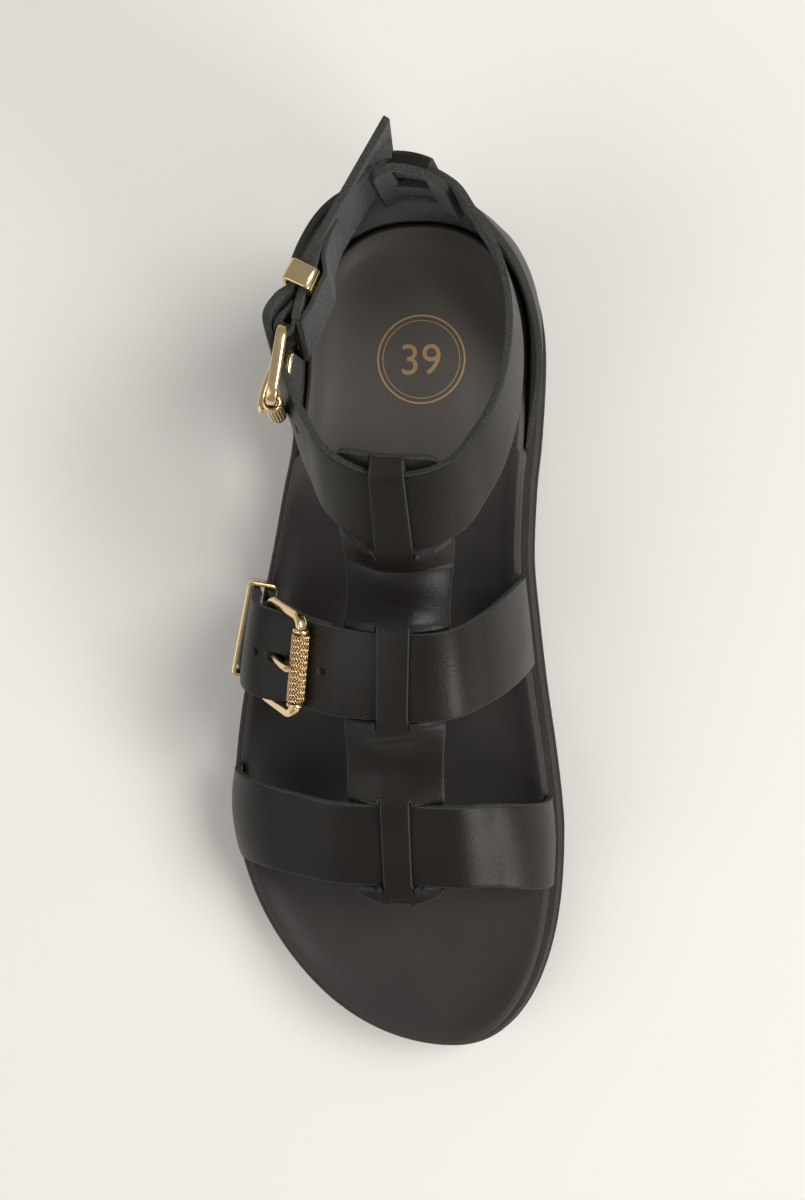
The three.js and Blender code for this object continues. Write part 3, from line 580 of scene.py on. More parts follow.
grain = add(tree, "ShaderNodeBump", {
    "Height": height.outputs[0], "Strength": 0.35, "Distance": 0.0001})
relief = add(tree, "ShaderNodeBump", {
    "Height": folds.outputs["Fac"], "Strength": 0.1, "Distance": 0.0004,
    "Normal": grain.outputs[0]})
STRAP_LEATHER = end({
    "Base Color": tone, "Roughness": worn.outputs[0], "IOR": 1.48,
    "Specular IOR Level": 0.32, "Normal": relief.outputs[0]})


def fibres(name, size, detail, distortion, high, tones, depth, inputs):
    """A finish of matted fibres of a size in millimetres, between two tones."""
    tree, where, end = new_finish(name)
    fibre = add(tree, "ShaderNodeTexNoise", {
        "Vector": where, "Scale": per_mm(size), "Detail": detail, "Distortion": distortion})
    spread = add(tree, "ShaderNodeMapRange", {
        "Value": fibre.outputs["Fac"], "From Min": 0.36, "From Max": high})
    tone = add(tree, "ShaderNodeMix", {
        0: spread.outputs[0], 6: linear(tones[0]), 7: linear(tones[1])}, data_type="RGBA")
    return end({"Base Color": tone.outputs[2], **inputs}, relief=(spread.outputs[0], 0.9, depth))


# The raw cut edge: fibres dyed grey with a touch of green, dull, rough.
CUT_EDGE = fibres(
    "raw_cut_edge", 0.3, 6.0, 0.0, 0.64, ("#252624", "#52534e"), 0.3, {"Roughness": 0.88})
# The flesh side: dark grey suede nap with a soft sheen.
FLESH_SIDE = fibres(
    "suede_flesh_side", 0.9, 7.0, 0.8, 0.66, ("#151614", "#393a37"), 0.4,
    {"Roughness": 0.92, "Sheen Weight": 0.25, "Sheen Roughness": 0.5})


def bent(wave, power):
    """A cosine or sine bent into the squarer curve of a superellipse."""
    return np.sign(wave) * np.abs(wave) ** (2 / power)


def wall_z(station):
    """Where a strap's foot side starts to climb from the ledge."""
    return ledge(station) + GAP + LEATHER + 0.1 + TUCK["fillet"]


def wall_x(station, side):
    edge = edge_x(station, side)
    return edge - np.sign(edge - CREST_X) * STRAP_INSET


def last_half(inner, station):
    """The last's power, its reach from crest to wall and its rise, on its inner or outer half."""
    power = np.where(inner, column(LAST_POWER, "inner", station), column(LAST_POWER, "outer", station))
    reach = np.where(inner, wall_x(station, "inner"), wall_x(station, "outer")) - CREST_X
    return power, reach, column(LAST, "height", station) - wall_z(station)


def last_point(station, angle):
    """The last at a station and an angle: 0 is the inner side, pi the outer side."""
    power, reach, rise = last_half(angle < math.pi / 2, station)
    x = CREST_X + np.abs(bent(np.cos(angle), power)) * reach
    return point(x, station, wall_z(station) + rise * bent(np.sin(angle), power))


def cross_strap(strap):
    """The function that gives a cross strap's place by degrees over the foot and share
    across, from its rear edge to its front edge."""
    late = 2.2                   # how late the strap bends towards its end's station

    def place(degrees, share):
        angle = np.radians(degrees)
        near = np.abs(np.cos(angle)) ** late
        edges = []
        for inner, crest_at, outer in (strap["rear"], strap["front"]):
            edges.append(mix(crest_at, np.where(np.cos(angle) > 0, inner, outer), near))
        return last_point(mix(edges[0], edges[1], share), angle)

    return place


def strap_end(strap, side, shares):
    """Rows of a strap's end, from its tuck under the footbed to the foot of its wall."""
    number = 0 if side == "inner" else 2
    inward = -1 if side == "inner" else 1
    stations = mix(strap["rear"][number], strap["front"][number], shares)
    fillet = TUCK["fillet"]
    steps = [(TUCK["length"], 0), (5, 0), (2.5, 0), (fillet, 0)]
    steps += [(fillet * (1 - np.sin(a)), fillet * (1 - np.cos(a))) for a in np.radians((22, 45, 67))]
    return np.array([
        point(wall_x(stations, side) + inward * back, stations, wall_z(stations) - fillet + up)
        for back, up in steps
    ])


def lifted(grid, lift):
    """A grid of points moved away from the foot by a height for each row or point."""
    along = np.gradient(grid, axis=0)
    across = np.gradient(grid, axis=1)
    away = np.cross(along, across)
    away /= np.maximum(np.linalg.norm(away, axis=-1, keepdims=True), 1e-9)
    lift = np.asarray(lift, float)
    return grid + away * (lift[:, None, None] if lift.ndim == 1 else lift[..., None])


def no_slit(places):
    return np.zeros(len(places), bool)


def leather_piece(name, grids, thickness=LEATHER, nodes=("upper",), punches=(), slit=no_slit):
    """A piece of leather from grids of points on its foot side, given its thickness, soft
    cut corners except along slits, and any punched holes."""
    piece = new_piece(name, *joined(*((grid, sheet_faces) for grid in grids)),
                      [STRAP_LEATHER, FLESH_SIDE, CUT_EDGE], shut=False)
    wall_of = piece.modifiers.new("thickness", "SOLIDIFY")
    wall_of.thickness, wall_of.offset = thickness / 1000, 1
    wall_of.use_even_offset = True
    wall_of.material_offset, wall_of.material_offset_rim = 1, 2
    thick = plain_mesh(piece)
    made = bmesh.new()
    made.from_mesh(thick)
    middles = np.array([(e.verts[0].co + e.verts[1].co) / 2 for e in made.edges]) * 1000 - SHIFT
    plain = slit(middles)
    corners = [e for e, skip in zip(made.edges, plain)
               if not skip and len(e.link_faces) == 2 and e.calc_face_angle() > math.radians(50)]
    bmesh.ops.bevel(made, geom=corners, offset=CUT / 1000, offset_type="OFFSET", segments=2,
                    profile=0.5, affect="EDGES", clamp_overlap=False, material=2)
    made.to_mesh(thick)
    made.free()
    piece.data = thick
    for tool in punches:
        hole = piece.modifiers.new("punch", "BOOLEAN")
        hole.object, hole.operation, hole.solver = tool, "DIFFERENCE", "EXACT"
    finished(piece, nodes)
    for tool in punches:
        bpy.data.objects.remove(tool)


STRIP_CENTRE = {"rear_x": -0.2, "front_x": -3.4, "from": 101, "to": 191}
PRESS = {"depth": 1.0, "reach": 9.0}     # how a bridge presses the strap under it


def strip_x(station):
    """The middle line of the centre strip, which crosses under the straps."""
    on = ramp(STRIP_CENTRE["from"], STRIP_CENTRE["to"], station)
    return mix(STRIP_CENTRE["rear_x"], STRIP_CENTRE["front_x"], on)


def pressed(grid):
    """How far each point of a strap is pressed down by the bridge over it."""
    beside = (grid[..., 0] - strip_x(-grid[..., 1])) / PRESS["reach"]
    return PRESS["depth"] * np.exp(-beside**2)


STRAP_SHARES = np.linspace(0, 1, 23)
CROWN = 0.45                     # how far a strap bulges between its edges
FREE_FROM = 9                    # degrees over the foot from which a strap has its full lift


def foot_strap(strap, degrees, lifts, outer_end=False):
    """A strap from its inner tucked end over the foot, pressed down under its bridge."""
    grid = cross_strap(strap)(degrees[:, None], STRAP_SHARES)
    bulge = CROWN * (1 - (2 * STRAP_SHARES - 1) ** 2)
    lift = column(lifts, "lift", degrees)[:, None] + bulge - pressed(grid)
    lift *= ramp(0, FREE_FROM, degrees)[:, None]
    tuck = strap_end(strap, "inner", STRAP_SHARES)
    grid = np.concatenate([tuck, grid[1:]])
    lift = np.concatenate([0 * tuck[..., 0], lift[1:]])
    if outer_end:
        lift[len(tuck):] *= ramp(180, 180 - FREE_FROM, degrees)[1:, None]
        tuck = strap_end(strap, "outer", STRAP_SHARES)[::-1]
        grid = np.concatenate([grid[:-1], tuck])
        lift = np.concatenate([lift[:-1], 0 * tuck[..., 0]])
    return lifted(grid, lift)


toe_strap = foot_strap(TOE_STRAP, np.linspace(0, 180, 170), TOE_LIFT, outer_end=True)
leather_piece("leather_toe_strap", [toe_strap])

# ---------------------------------------------------------------- roller buckles
# Each buckle is a closed frame of thick wire, a knurled tube that rolls on its free bar and
# a prong on its hinge bar: die-cast zinc, polished, plated pale gold and lacquered.
BUCKLE = {"length": 20.0, "inside": 26.6, "wire": 1.3, "corner": 3.5, "roller": 2.5, "width": 23.0}
PRONG = {"eye": 2.3, "width": 3.4}
PRONG_COURSE = table(            # from the hinge bar to the tip beyond the roller
    "at z radius",
    (0.0, 1.5, 0.55), (3.0, 1.3, 0.9), (6.5, 1.6, 1.05), (10, 2.5, 1.05), (14, 3.3, 1.05),
    (18, 3.75, 1.05), (20.4, 3.8, 1.0), (21.8, 3.6, 0.55),
)
KNURL = {
    "rows": 22, "around": 17, "pitch": 0.9016, "long": 1.45, "broad": 0.44, "high": 0.24, "rim": 1.1,
}
RING = {
    "centre_x": 0.9,
    "top": {"centre": 44.8, "half": 29.0, "rear": 37.2, "front": 39.1},
    "bottom": {"centre": 52.3, "half": 31.0, "rear": 45.6, "front": 51.0},
    "power": {"inner_front": 2.1, "inner_rear": 1.95, "outer_rear": 1.45, "outer_front": 1.9},
}
RING_Z = table("at top bottom", (-90, 100, 81.5), (0, 101.5, 77), (90, 103, 77.5))
INSTEP_STRAP = {"rear": (113.5, 127.6, 115.5), "front": (140.5, 152, 141)}

# Pale gold plating under lacquer: a mirror softened by fine polishing and handling.
tree, where, end = new_finish("polished_pale_gold")
handled = add(tree, "ShaderNodeTexNoise", {"Vector": where, "Scale": per_mm(5), "Detail": 5.0})
smooth = add(tree, "ShaderNodeMapRange", {
    "Value": handled.outputs["Fac"], "From Min": 0.3, "From Max": 0.7, "To Min": 0.14, "To Max": 0.26})
POLISHED_GOLD = end({
    "Base Color": linear("#ecd0a0"), "Metallic": 1.0, "Roughness": smooth.outputs[0],
    "Coat Weight": 0.3, "Coat Roughness": 0.08}, relief=(handled.outputs["Fac"], 0.08, 0.2))

# The floor of the knurl, where the brown toning wash stays.
tree, where, end = new_finish("toned_gold_recess")
_, tone = clouded(tree, where, 0.8, 2.0, "#4b3520", "#80603a")
TONED_RECESS = end({"Base Color": tone, "Metallic": 1.0, "Roughness": 0.42})


def ring_power(x, y):
    names = {(True, True): "inner_front", (False, True): "outer_front",
             (True, False): "inner_rear", (False, False): "outer_rear"}
    power = np.zeros(np.broadcast(x, y).shape)
    for (inner, ahead), name in names.items():
        power = np.where(((x > 0) == inner) & ((y < 0) == ahead), RING["power"][name], power)
    return power


def ring_point(degrees, down):
    """The band round the ankle: 0 degrees is the inner side, 90 the rear, -90 the front;
    down is 0 at its top edge and 1 at its bottom edge."""
    cos, sin = np.cos(np.radians(degrees)), np.sin(np.radians(degrees))
    power = ring_power(cos, sin)
    tilt = np.degrees(np.arcsin(np.clip(sin, -1, 1)))
    edges = []
    for name in ("top", "bottom"):
        curve = RING[name]
        reach = np.where(sin > 0, curve["rear"], curve["front"])
        edges.append(point(
            RING["centre_x"] + curve["half"] * bent(cos, power),
            curve["centre"] - reach * bent(sin, power), column(RING_Z, name, tilt)))
    return mix(edges[0], edges[1], np.asarray(down, float)[..., None])


def axes_at(place, degrees, direction):
    """The axes at the middle of a strap: its middle, along, across and off the foot."""
    def middle(at):
        return (place(at, 0.0) + place(at, 1.0)) / 2

    along = unit(middle(degrees + 0.5 * direction) - middle(degrees - 0.5 * direction))
    across = unit(place(degrees, 1.0) - place(degrees, 0.0))
    return middle(degrees), along, across, unit(np.cross(along, across))


def buckle_frame_of(place, direction, hinge, hinge_lift, roller_lift):
    """A buckle's origin and axes: x from hinge bar to roller, y along them, z off the foot."""
    centre, _, _, off_start = axes_at(place, hinge, direction)
    origin = centre + off_start * hinge_lift
    degrees, roller, off_end = hinge, origin, off_start
    while np.linalg.norm(roller - origin) < BUCKLE["length"]:
        degrees -= 0.25 * direction
        centre, _, _, off_end = axes_at(place, degrees, direction)
        roller = centre + off_end * roller_lift
    x = unit(roller - origin)
    y = unit(np.cross(off_start + off_end, x))
    return origin, np.array([x, y, np.cross(x, y)])


def placed(local, where_at):
    """Points given in a fitting's own axes, moved to the shoe."""
    origin, axes = where_at
    return origin + np.asarray(local, float) @ axes


def tube(path, radii, side, turns=24, power=2.0):
    """Loops of round section, or squarer with a higher power, along a path in one plane."""
    along = np.gradient(path, axis=0)
    outward = unit(np.cross(along, side))
    angle = np.linspace(0, 2 * math.pi, turns, endpoint=False)[None, :, None]
    radii = np.broadcast_to(radii, len(path))[:, None, None]
    cos, sin = bent(np.cos(angle), power), bent(np.sin(angle), power)
    return path[:, None] + radii * (cos * outward[:, None] + sin * side)


def round_corners(half_x, half_y, corner, steps):
    """Round a rectangle, each corner's centre and the directions out from it."""
    for side_x, side_y, turn in ((1, 1, 0), (-1, 1, 90), (-1, -1, 180), (1, -1, 270)):
        for angle in np.radians(np.linspace(turn, turn + 90, steps)):
            yield (side_x * (half_x - corner), side_y * (half_y - corner),
                   math.cos(angle), math.sin(angle))


def wire_frame():
    """Loops of a buckle's frame: a rectangle of round wire with round corners, closed."""
    half = BUCKLE["inside"] / 2 + BUCKLE["wire"]
    corner, length = BUCKLE["corner"], BUCKLE["length"]
    path = np.array([
        (length / 2 + x + corner * cos, y + corner * sin, 0)
        for x, y, cos, sin in round_corners(length / 2, half, corner, 13)
    ])
    closed = np.concatenate([path[-1:], path, path[:2]])
    return tube(closed, BUCKLE["wire"], np.array([0, 0, 1.18]), turns=32, power=3.4)[1:-1]


def sleeve(inner, outer, length, steps=48):
    """Loops of a ring or tube along y, with softened rims."""
    soft = min(0.25, (outer - inner) / 3)
    half = length / 2
    rim = [(inner, half), (outer - soft, half), (outer, half - soft)]
    section = [(r, -y) for r, y in rim] + rim[::-1]
    angle = np.linspace(0, 2 * math.pi, steps + 1)
    return np.array([[(r * math.cos(a), y, r * math.sin(a)) for r, y in section] for a in angle])


def prong_rod():
    """Loops of the prong's rod, bent over the roller, thinner at its ends."""
    x = np.linspace(0, PRONG_COURSE["at"][-1], 40)
    path = np.stack([x, 0 * x, column(PRONG_COURSE, "z", x)], axis=-1)
    return tube(path, column(PRONG_COURSE, "radius", x), np.array([0, 1.0, 0]), turns=20)


def knurl_tree():
    """Ridges laid in herringbone round a roller, instanced on its skin and made real."""
    tree = bpy.data.node_groups.new("herringbone_knurl", "GeometryNodeTree")
    sockets = {}
    for name, kind in (
        ("Geometry", "Geometry"), ("Radius", "Float"), ("Start", "Float"), ("Pitch", "Float"),
        ("Step", "Float"), ("Rows", "Int"), ("Around", "Int"), ("Ridge", "Vector"),
        ("Material", "Material"),
    ):
        made = tree.interface.new_socket(name, in_out="INPUT", socket_type="NodeSocket" + kind)
        sockets[name] = made.identifier
    tree.interface.new_socket("Geometry", in_out="OUTPUT", socket_type="NodeSocketGeometry")
    given = add(tree, "NodeGroupInput").outputs
    count = add(tree, "ShaderNodeMath", {0: given["Rows"], 1: given["Around"]}, operation="MULTIPLY")
    index = add(tree, "GeometryNodeInputIndex").outputs[0]
    row = add(tree, "ShaderNodeMath", {0: index, 1: given["Around"]}, operation="DIVIDE")
    row = add(tree, "ShaderNodeMath", {0: row.outputs[0]}, operation="FLOOR")
    along = add(tree, "ShaderNodeMath", {
        0: row.outputs[0], 1: given["Pitch"], 2: given["Start"]}, operation="MULTIPLY_ADD")
    turn = add(tree, "ShaderNodeMath", {
        0: index, 1: given["Step"], 2: math.pi / 2}, operation="MULTIPLY_ADD")
    outward = add(tree, "FunctionNodeAxisAngleToRotation", {
        "Axis": (0, 1, 0), "Angle": turn.outputs[0]})
    flat = add(tree, "ShaderNodeCombineXYZ", {"Y": along.outputs[0], "Z": given["Radius"]})
    spot = add(tree, "FunctionNodeRotateVector", {
        "Vector": flat.outputs[0], "Rotation": outward.outputs[0]})
    spots = add(tree, "GeometryNodePoints", {
        "Count": count.outputs[0], "Position": spot.outputs[0]})
    odd = add(tree, "ShaderNodeMath", {0: row.outputs[0], 1: 2.0}, operation="MODULO")
    slant = add(tree, "ShaderNodeMapRange", {
        "Value": odd.outputs[0], "To Min": -math.pi / 4, "To Max": math.pi / 4})
    slanted = add(tree, "FunctionNodeAxisAngleToRotation", {
        "Axis": (0, 0, 1), "Angle": slant.outputs[0]})
    facing = add(tree, "FunctionNodeRotateRotation", {
        "Rotation": outward.outputs[0], "Rotate By": slanted.outputs[0]}, rotation_space="LOCAL")
    ridge = add(tree, "GeometryNodeMeshUVSphere", {"Segments": 8, "Rings": 5, "Radius": 0.5})
    laid = add(tree, "GeometryNodeInstanceOnPoints", {
        "Points": spots.outputs[0], "Instance": ridge.outputs[0],
        "Rotation": facing.outputs[0], "Scale": given["Ridge"]})
    real = add(tree, "GeometryNodeRealizeInstances", {"Geometry": laid.outputs[0]})
    plated = add(tree, "GeometryNodeSetMaterial", {
        "Geometry": real.outputs[0], "Material": given["Material"]})
    whole = add(tree, "GeometryNodeJoinGeometry")
    tree.links.new(plated.outputs[0], whole.inputs[0])
    tree.links.new(given["Geometry"], whole.inputs[0])
    add(tree, "NodeGroupOutput", {0: whole.outputs[0]})
    return tree, sockets


KNURL_TREE, KNURL_INPUTS = knurl_tree()


def knurled_roller(name, node, where_at):
    """A roller made at the frame's origin, its knurl laid by the tree, then put in place."""
    core = BUCKLE["roller"] - KNURL["high"] / 2
    rim_at = (BUCKLE["width"] - KNURL["rim"]) / 2
    tubes = [sleeve(BUCKLE["wire"] + GAP, core, BUCKLE["width"])] + [
        sleeve(core - 0.6, BUCKLE["roller"], KNURL["rim"]) + (0, side * rim_at, 0) for side in (-1, 1)]
    points, faces = joined(*((loops, tube_faces) for loops in tubes))
    piece = new_piece(name, points - SHIFT, faces, [TONED_RECESS, POLISHED_GOLD])
    plated = np.arange(len(faces)) >= len(faces) // len(tubes)
    piece.data.polygons.foreach_set("material_index", plated.astype(int))
    knurl = piece.modifiers.new("knurl", "NODES")
    knurl.node_group = KNURL_TREE
    for key, value in {
        "Radius": core / 1000, "Pitch": KNURL["pitch"] / 1000,
        "Start": -KNURL["pitch"] * (KNURL["rows"] - 1) / 2000,
        "Step": -2 * math.pi / KNURL["around"], "Rows": KNURL["rows"], "Around": KNURL["around"],
        "Ridge": (KNURL["long"] / 1000, KNURL["broad"] / 1000, 2 * KNURL["high"] / 1000),
        "Material": POLISHED_GOLD,
    }.items():
        knurl[KNURL_INPUTS[key]] = value
    finished(piece, [node], crease=50)
    local = np.empty(len(piece.data.vertices) * 3)
    piece.data.vertices.foreach_get("co", local)
    local = local.reshape(-1, 3) * 1000 + (BUCKLE["length"], 0, 0)
    piece.data.vertices.foreach_set("co", ((placed(local, where_at) + SHIFT) / 1000).ravel())
    piece.data.update()


def buckle(name, where_at):
    """One buckle's three pieces at its place."""
    points, faces = joined((wire_frame(), tube_faces))
    piece = new_piece(f"gold_{name}_frame", placed(points, where_at), faces, [POLISHED_GOLD])
    finished(piece, [f"{name}_buckle_frame"])
    knurled_roller(f"gold_{name}_roller", f"{name}_buckle_roller", where_at)
    eye = sleeve(BUCKLE["wire"] + 0.25, PRONG["eye"], PRONG["width"])
    points, faces = joined((eye, tube_faces), (prong_rod(), rod_faces))
    piece = new_piece(f"gold_{name}_prong", placed(points, where_at), faces, [POLISHED_GOLD])
    finished(piece, [f"{name}_buckle_prong"], crease=50)


instep_place = cross_strap(INSTEP_STRAP)
INSTEP_HINGE, ANKLE_HINGE = 140.4, -185.0
INSTEP_BUCKLE = buckle_frame_of(instep_place, 1, INSTEP_HINGE, 4.6, 7.9)
ANKLE_BUCKLE = buckle_frame_of(ring_point, -1, ANKLE_HINGE, 0.4, 6.1)
buckle("instep", INSTEP_BUCKLE)
buckle("ankle", ANKLE_BUCKLE)

# ---------------------------------------------------------------- keepers
# A flat loop of the same plated metal holds both layers of a fastened strap beyond its
# buckle. Its corners are bent tight and its rims are polished round.
KEEPER = {"inside": 27.9, "wall": 1.2, "breadth": 6.2, "corner": 0.8, "soft": 0.3}


def keeper(name, node, place, direction, degrees, height, lift):
    """A keeper round its strap: x across the strap, y off the foot, z along the strap."""
    middle, _, across, off = axes_at(place, degrees, direction)
    where_at = (middle + off * lift, np.array([across, off, np.cross(across, off)]))
    half, wall = KEEPER["breadth"] / 2, KEEPER["wall"]
    soft, corner = KEEPER["soft"], KEEPER["corner"]
    rim = [(0, half), (wall - soft, half), (wall - soft / 3, half - soft / 3), (wall, half - soft)]
    section = [(out, -z) for out, z in rim] + rim[::-1]
    loops = [
        [(x + (corner + out) * cos, y + (corner + out) * sin, z) for out, z in section]
        for x, y, cos, sin in round_corners(KEEPER["inside"] / 2, height / 2, corner, 9)
    ]
    points, faces = joined((np.array(loops + loops[:1]), tube_faces))
    piece = new_piece(name, placed(points, where_at), faces, [POLISHED_GOLD])
    finished(piece, [node], crease=50)


keeper("gold_instep_keeper", "instep_keeper", instep_place, 1, 162, 6.9, 3.0)
keeper("gold_ankle_keeper", "ankle_keeper", ring_point, -1, -206, 6.2, -1.3)

# ---------------------------------------------------------------- instep strap
# The long instep strap comes up from the inner side, goes over the foot, through its
# buckle and keeper, and ends cut straight. Three holes are punched along its middle.
INSTEP_LIFT = table(
    "at lift",
    (54, 0), (75, LAYER), (107, LAYER), (113, 2.4), (118, 2.4), (123, 2.5), (140.4, 8.1),
    (147, 6.5), (154, 3.6), (167, 3.3), (173, 5.0),
)
INSTEP_END = 173.0
HOLE = {"width": 2.6, "slot": (6.8, 13.0), "slot_width": 2.9, "others": (3.4, 24.6), "reach": 14.0}


def punch(where_at, start, stop, width):
    """A punch for an oblong hole between two distances from the hinge bar."""
    radius = width / 2
    ring = []
    for centre, turn in ((stop - radius, -90), (start + radius, 90)):
        for angle in np.radians(np.linspace(turn, turn + 180, 11)):
            ring.append((centre + radius * math.cos(angle), radius * math.sin(angle)))
    loops = np.array([[(x, y, z) for x, y in ring] for z in (-HOLE["reach"], HOLE["reach"])])
    points, faces = joined((loops, rod_faces))
    return new_piece("punch", placed(points, where_at), faces, [CUT_EDGE])


def punches_for(where_at):
    made = [punch(where_at, *HOLE["slot"], HOLE["slot_width"])]
    for at in HOLE["others"]:
        made.append(punch(where_at, at - HOLE["width"] / 2, at + HOLE["width"] / 2, HOLE["width"]))
    return made


instep_strap = foot_strap(INSTEP_STRAP, np.linspace(0, INSTEP_END, 190), INSTEP_LIFT)
leather_piece("leather_instep_strap", [instep_strap], punches=punches_for(INSTEP_BUCKLE))

# ---------------------------------------------------------------- buckle strap
# A short strap comes up from the outer side under the long one, is folded round the
# buckle's hinge bar and sewn down, and runs on as a pad under the buckle.
UNDERLAY_START = 116.5
WRAP = {"thickness": 1.2, "slot": 5.2, "width": 23.4}


def wrap_grids(where_at):
    """The strap end folded round a hinge bar, in two leaves that leave room for the prong."""
    clear = BUCKLE["wire"] + GAP
    path = [(-6.5, -2.6), (-4.6, -2.3), (-3, -1.95), (-1.5, -1.7)]
    path += [(clear * math.cos(a), clear * math.sin(a)) for a in np.radians(np.linspace(-90, 90, 15))]
    path += [(-1.5, 1.3), (-3, 0.6), (-4, -0.2), (-5, -1), (-7, -2.2)]
    path = np.array(path)
    grids = []
    for low, high in ((WRAP["slot"] / 2, WRAP["width"] / 2), (-WRAP["width"] / 2, -WRAP["slot"] / 2)):
        y = np.linspace(high, low, 8)
        local = np.stack(np.broadcast_arrays(path[:, None, 0], y[None, :], path[:, None, 1]), axis=-1)
        grids.append(placed(local, where_at))
    return grids


pad_degrees = np.linspace(UNDERLAY_START, 180, 90)
pad_grid = instep_place(pad_degrees[:, None], STRAP_SHARES)
pad_end = strap_end(INSTEP_STRAP, "outer", STRAP_SHARES)[::-1]
leather_piece("leather_buckle_strap", [np.concatenate([pad_grid[:-1], pad_end])],
              nodes=("instep_buckle_strap",))
leather_piece("leather_instep_wrap", wrap_grids(INSTEP_BUCKLE), WRAP["thickness"],
              nodes=("instep_buckle_strap",))

# ---------------------------------------------------------------- ankle strap
# One strap goes from the ankle buckle's hinge bar round the heel, the inner side and the
# front, through the buckle and keeper, and its free tail stands straight off behind.
ANKLE_LIFT = table(
    "at lift",
    (-206, -0.9), (-200, -0.5), (-194.5, 1.8), (-185, 3.5), (-168, 1.6), (-156, 0.3), (-140, 0.5),
    (-126, LAYER), (-62, LAYER), (-46, 0.5), (45, 0.5), (60, LAYER), (110, LAYER),
    (128, 0), (152, -3.6), (176, -4.2),
)
ANKLE_ENDS = (176.0, -206.0)
TAIL = {"tip_x": 0.4, "tip_station": -2.6, "rise": 6.0, "steps": 34}

ankle_degrees = np.linspace(*ANKLE_ENDS, 330)
ring_shares = np.linspace(0, 1, 21)
ankle_grid = ring_point(ankle_degrees[:, None], ring_shares[None, :])
ankle_lift = column(ANKLE_LIFT, "lift", ankle_degrees)
ahead = (ankle_degrees > -140) & (ankle_degrees < -40)
ankle_grid = lifted(ankle_grid, ankle_lift[:, None] - pressed(ankle_grid) * ahead[:, None])
last_row = ankle_grid[-1]
last_middle = (last_row[0] + last_row[-1]) / 2
tip = point(TAIL["tip_x"], TAIL["tip_station"], last_middle[2] + TAIL["rise"])
tail_run = tip - last_middle
tail = np.array([last_row + tail_run * t for t in np.linspace(0, 1, TAIL["steps"] + 1)[1:]])
ankle_whole = np.concatenate([ankle_grid, tail])
leather_piece("leather_ankle_strap", [ankle_whole], punches=punches_for(ANKLE_BUCKLE))
leather_piece("leather_ankle_wrap", wrap_grids(ANKLE_BUCKLE), WRAP["thickness"])

# The strap's folded end is sewn back on itself inside and holds the keeper in the fold.
FOLD_LIFT = table(
    "at lift", (128, -1.35), (140, -3.4), (149, -7.0), (160, -7.0), (172, -5.7), (181, -4.6))
fold_degrees = np.linspace(181, 128, 60)
fold = ring_point(fold_degrees[:, None], np.linspace(0.04, 0.96, 16)[None, :])
leather_piece("leather_ankle_fold", [lifted(fold, column(FOLD_LIFT, "lift", fold_degrees))], 1.2)

# ---------------------------------------------------------------- centre strip
# A tongue of the same leather runs down the foot under all three straps. At each one it
# is slit twice, and its middle rides over the strap as a bridge that holds it.
STRIP = {
    "width": 27.5, "bridge": 8.6, "front": 209.5, "rear": 80.0, "round": 6.5, "warp": 14.0,
    "last_from": 97,
}
CREASE = {"height": 0.09, "pitch": 3.1, "slant": 0.22, "beyond": 5.0, "reach": 3.2, "width": 6.5}
SAG = {"depth": 8.0, "from": 103, "to": 128, "soft": 1.4}
SLIT = {
    "reach": 12.0, "short": 4.4, "dive": 2.0, "lift": 2 * LAYER - PRESS["depth"] + 0.1,
    "gap": 0.35, "open_at": 0.6, "taper": 4.7, "droop": 0.85,
}
RING_FRONT = RING["top"]["centre"] + RING["top"]["front"]
RING_FRONT_RUN = RING["bottom"]["centre"] + RING["bottom"]["front"] - RING_FRONT
# Stations of each strap's rear and front edge at the strip.
CROSSINGS = [(strap["rear"][1], strap["front"][1]) for strap in (TOE_STRAP, INSTEP_STRAP)]
CROSSINGS += [(RING_FRONT, RING_FRONT + RING_FRONT_RUN)]


def last_above(x, station):
    """The last's surface above a place in plan."""
    power, reach, rise = last_half(x > CREST_X, station)
    return point(x, station, wall_z(station) + rise * quarter((x - CREST_X) / reach, power))


def ring_degrees(x, end_of):
    """The angle at the ankle ring's front (-1) or rear (1) that lies over a place x."""
    u = (x - RING["centre_x"]) / RING["top"]["half"]
    cos = np.sign(u) * np.abs(u) ** (ring_power(u, end_of + 0 * u) / 2)
    return end_of * np.degrees(np.arccos(np.clip(cos, -1, 1)))


def strip_point(station, offset):
    """The strip lies on the last, at its rear end on the front of the ankle ring, and hangs
    straight between the ring and the instep strap."""
    x = strip_x(station) + offset
    down = (station - RING_FRONT) / RING_FRONT_RUN
    on_last = np.maximum(station, STRIP["last_from"])
    low = last_above(x, on_last)
    # Leather doesn't take the crest's sharp turn, so heights are evened out across it.
    low[..., 2] = np.mean([
        last_above(x + d, on_last)[..., 2] for d in (-3.6, -2.4, -1.2, 0, 1.2, 2.4, 3.6)], axis=0)
    low[..., 2] -= SAG["depth"] * ramp(SAG["to"], SAG["from"], station)
    high = ring_point(ring_degrees(x, -1), down)
    bend = 0.5 * (low[..., 2] + high[..., 2] + np.hypot(low[..., 2] - high[..., 2], SAG["soft"]))
    on_ring = ramp(SAG["from"] + 3, SAG["from"] - 3, station)
    place = mix(low, high, ramp(120, 102, station)[..., None])
    place[..., 2] = np.where(station > SAG["to"], low[..., 2], mix(bend, high[..., 2], on_ring))
    return place


def strip_station(station, u):
    """Stations pulled back at the strip's round ends, by place across from -1 to 1."""
    back = STRIP["round"] * (1 - quarter(u, 2.2))
    ahead = ramp(STRIP["front"] - STRIP["warp"], STRIP["front"], station)
    behind = ramp(STRIP["rear"] + STRIP["warp"], STRIP["rear"], station)
    return station - back * ahead + back * behind


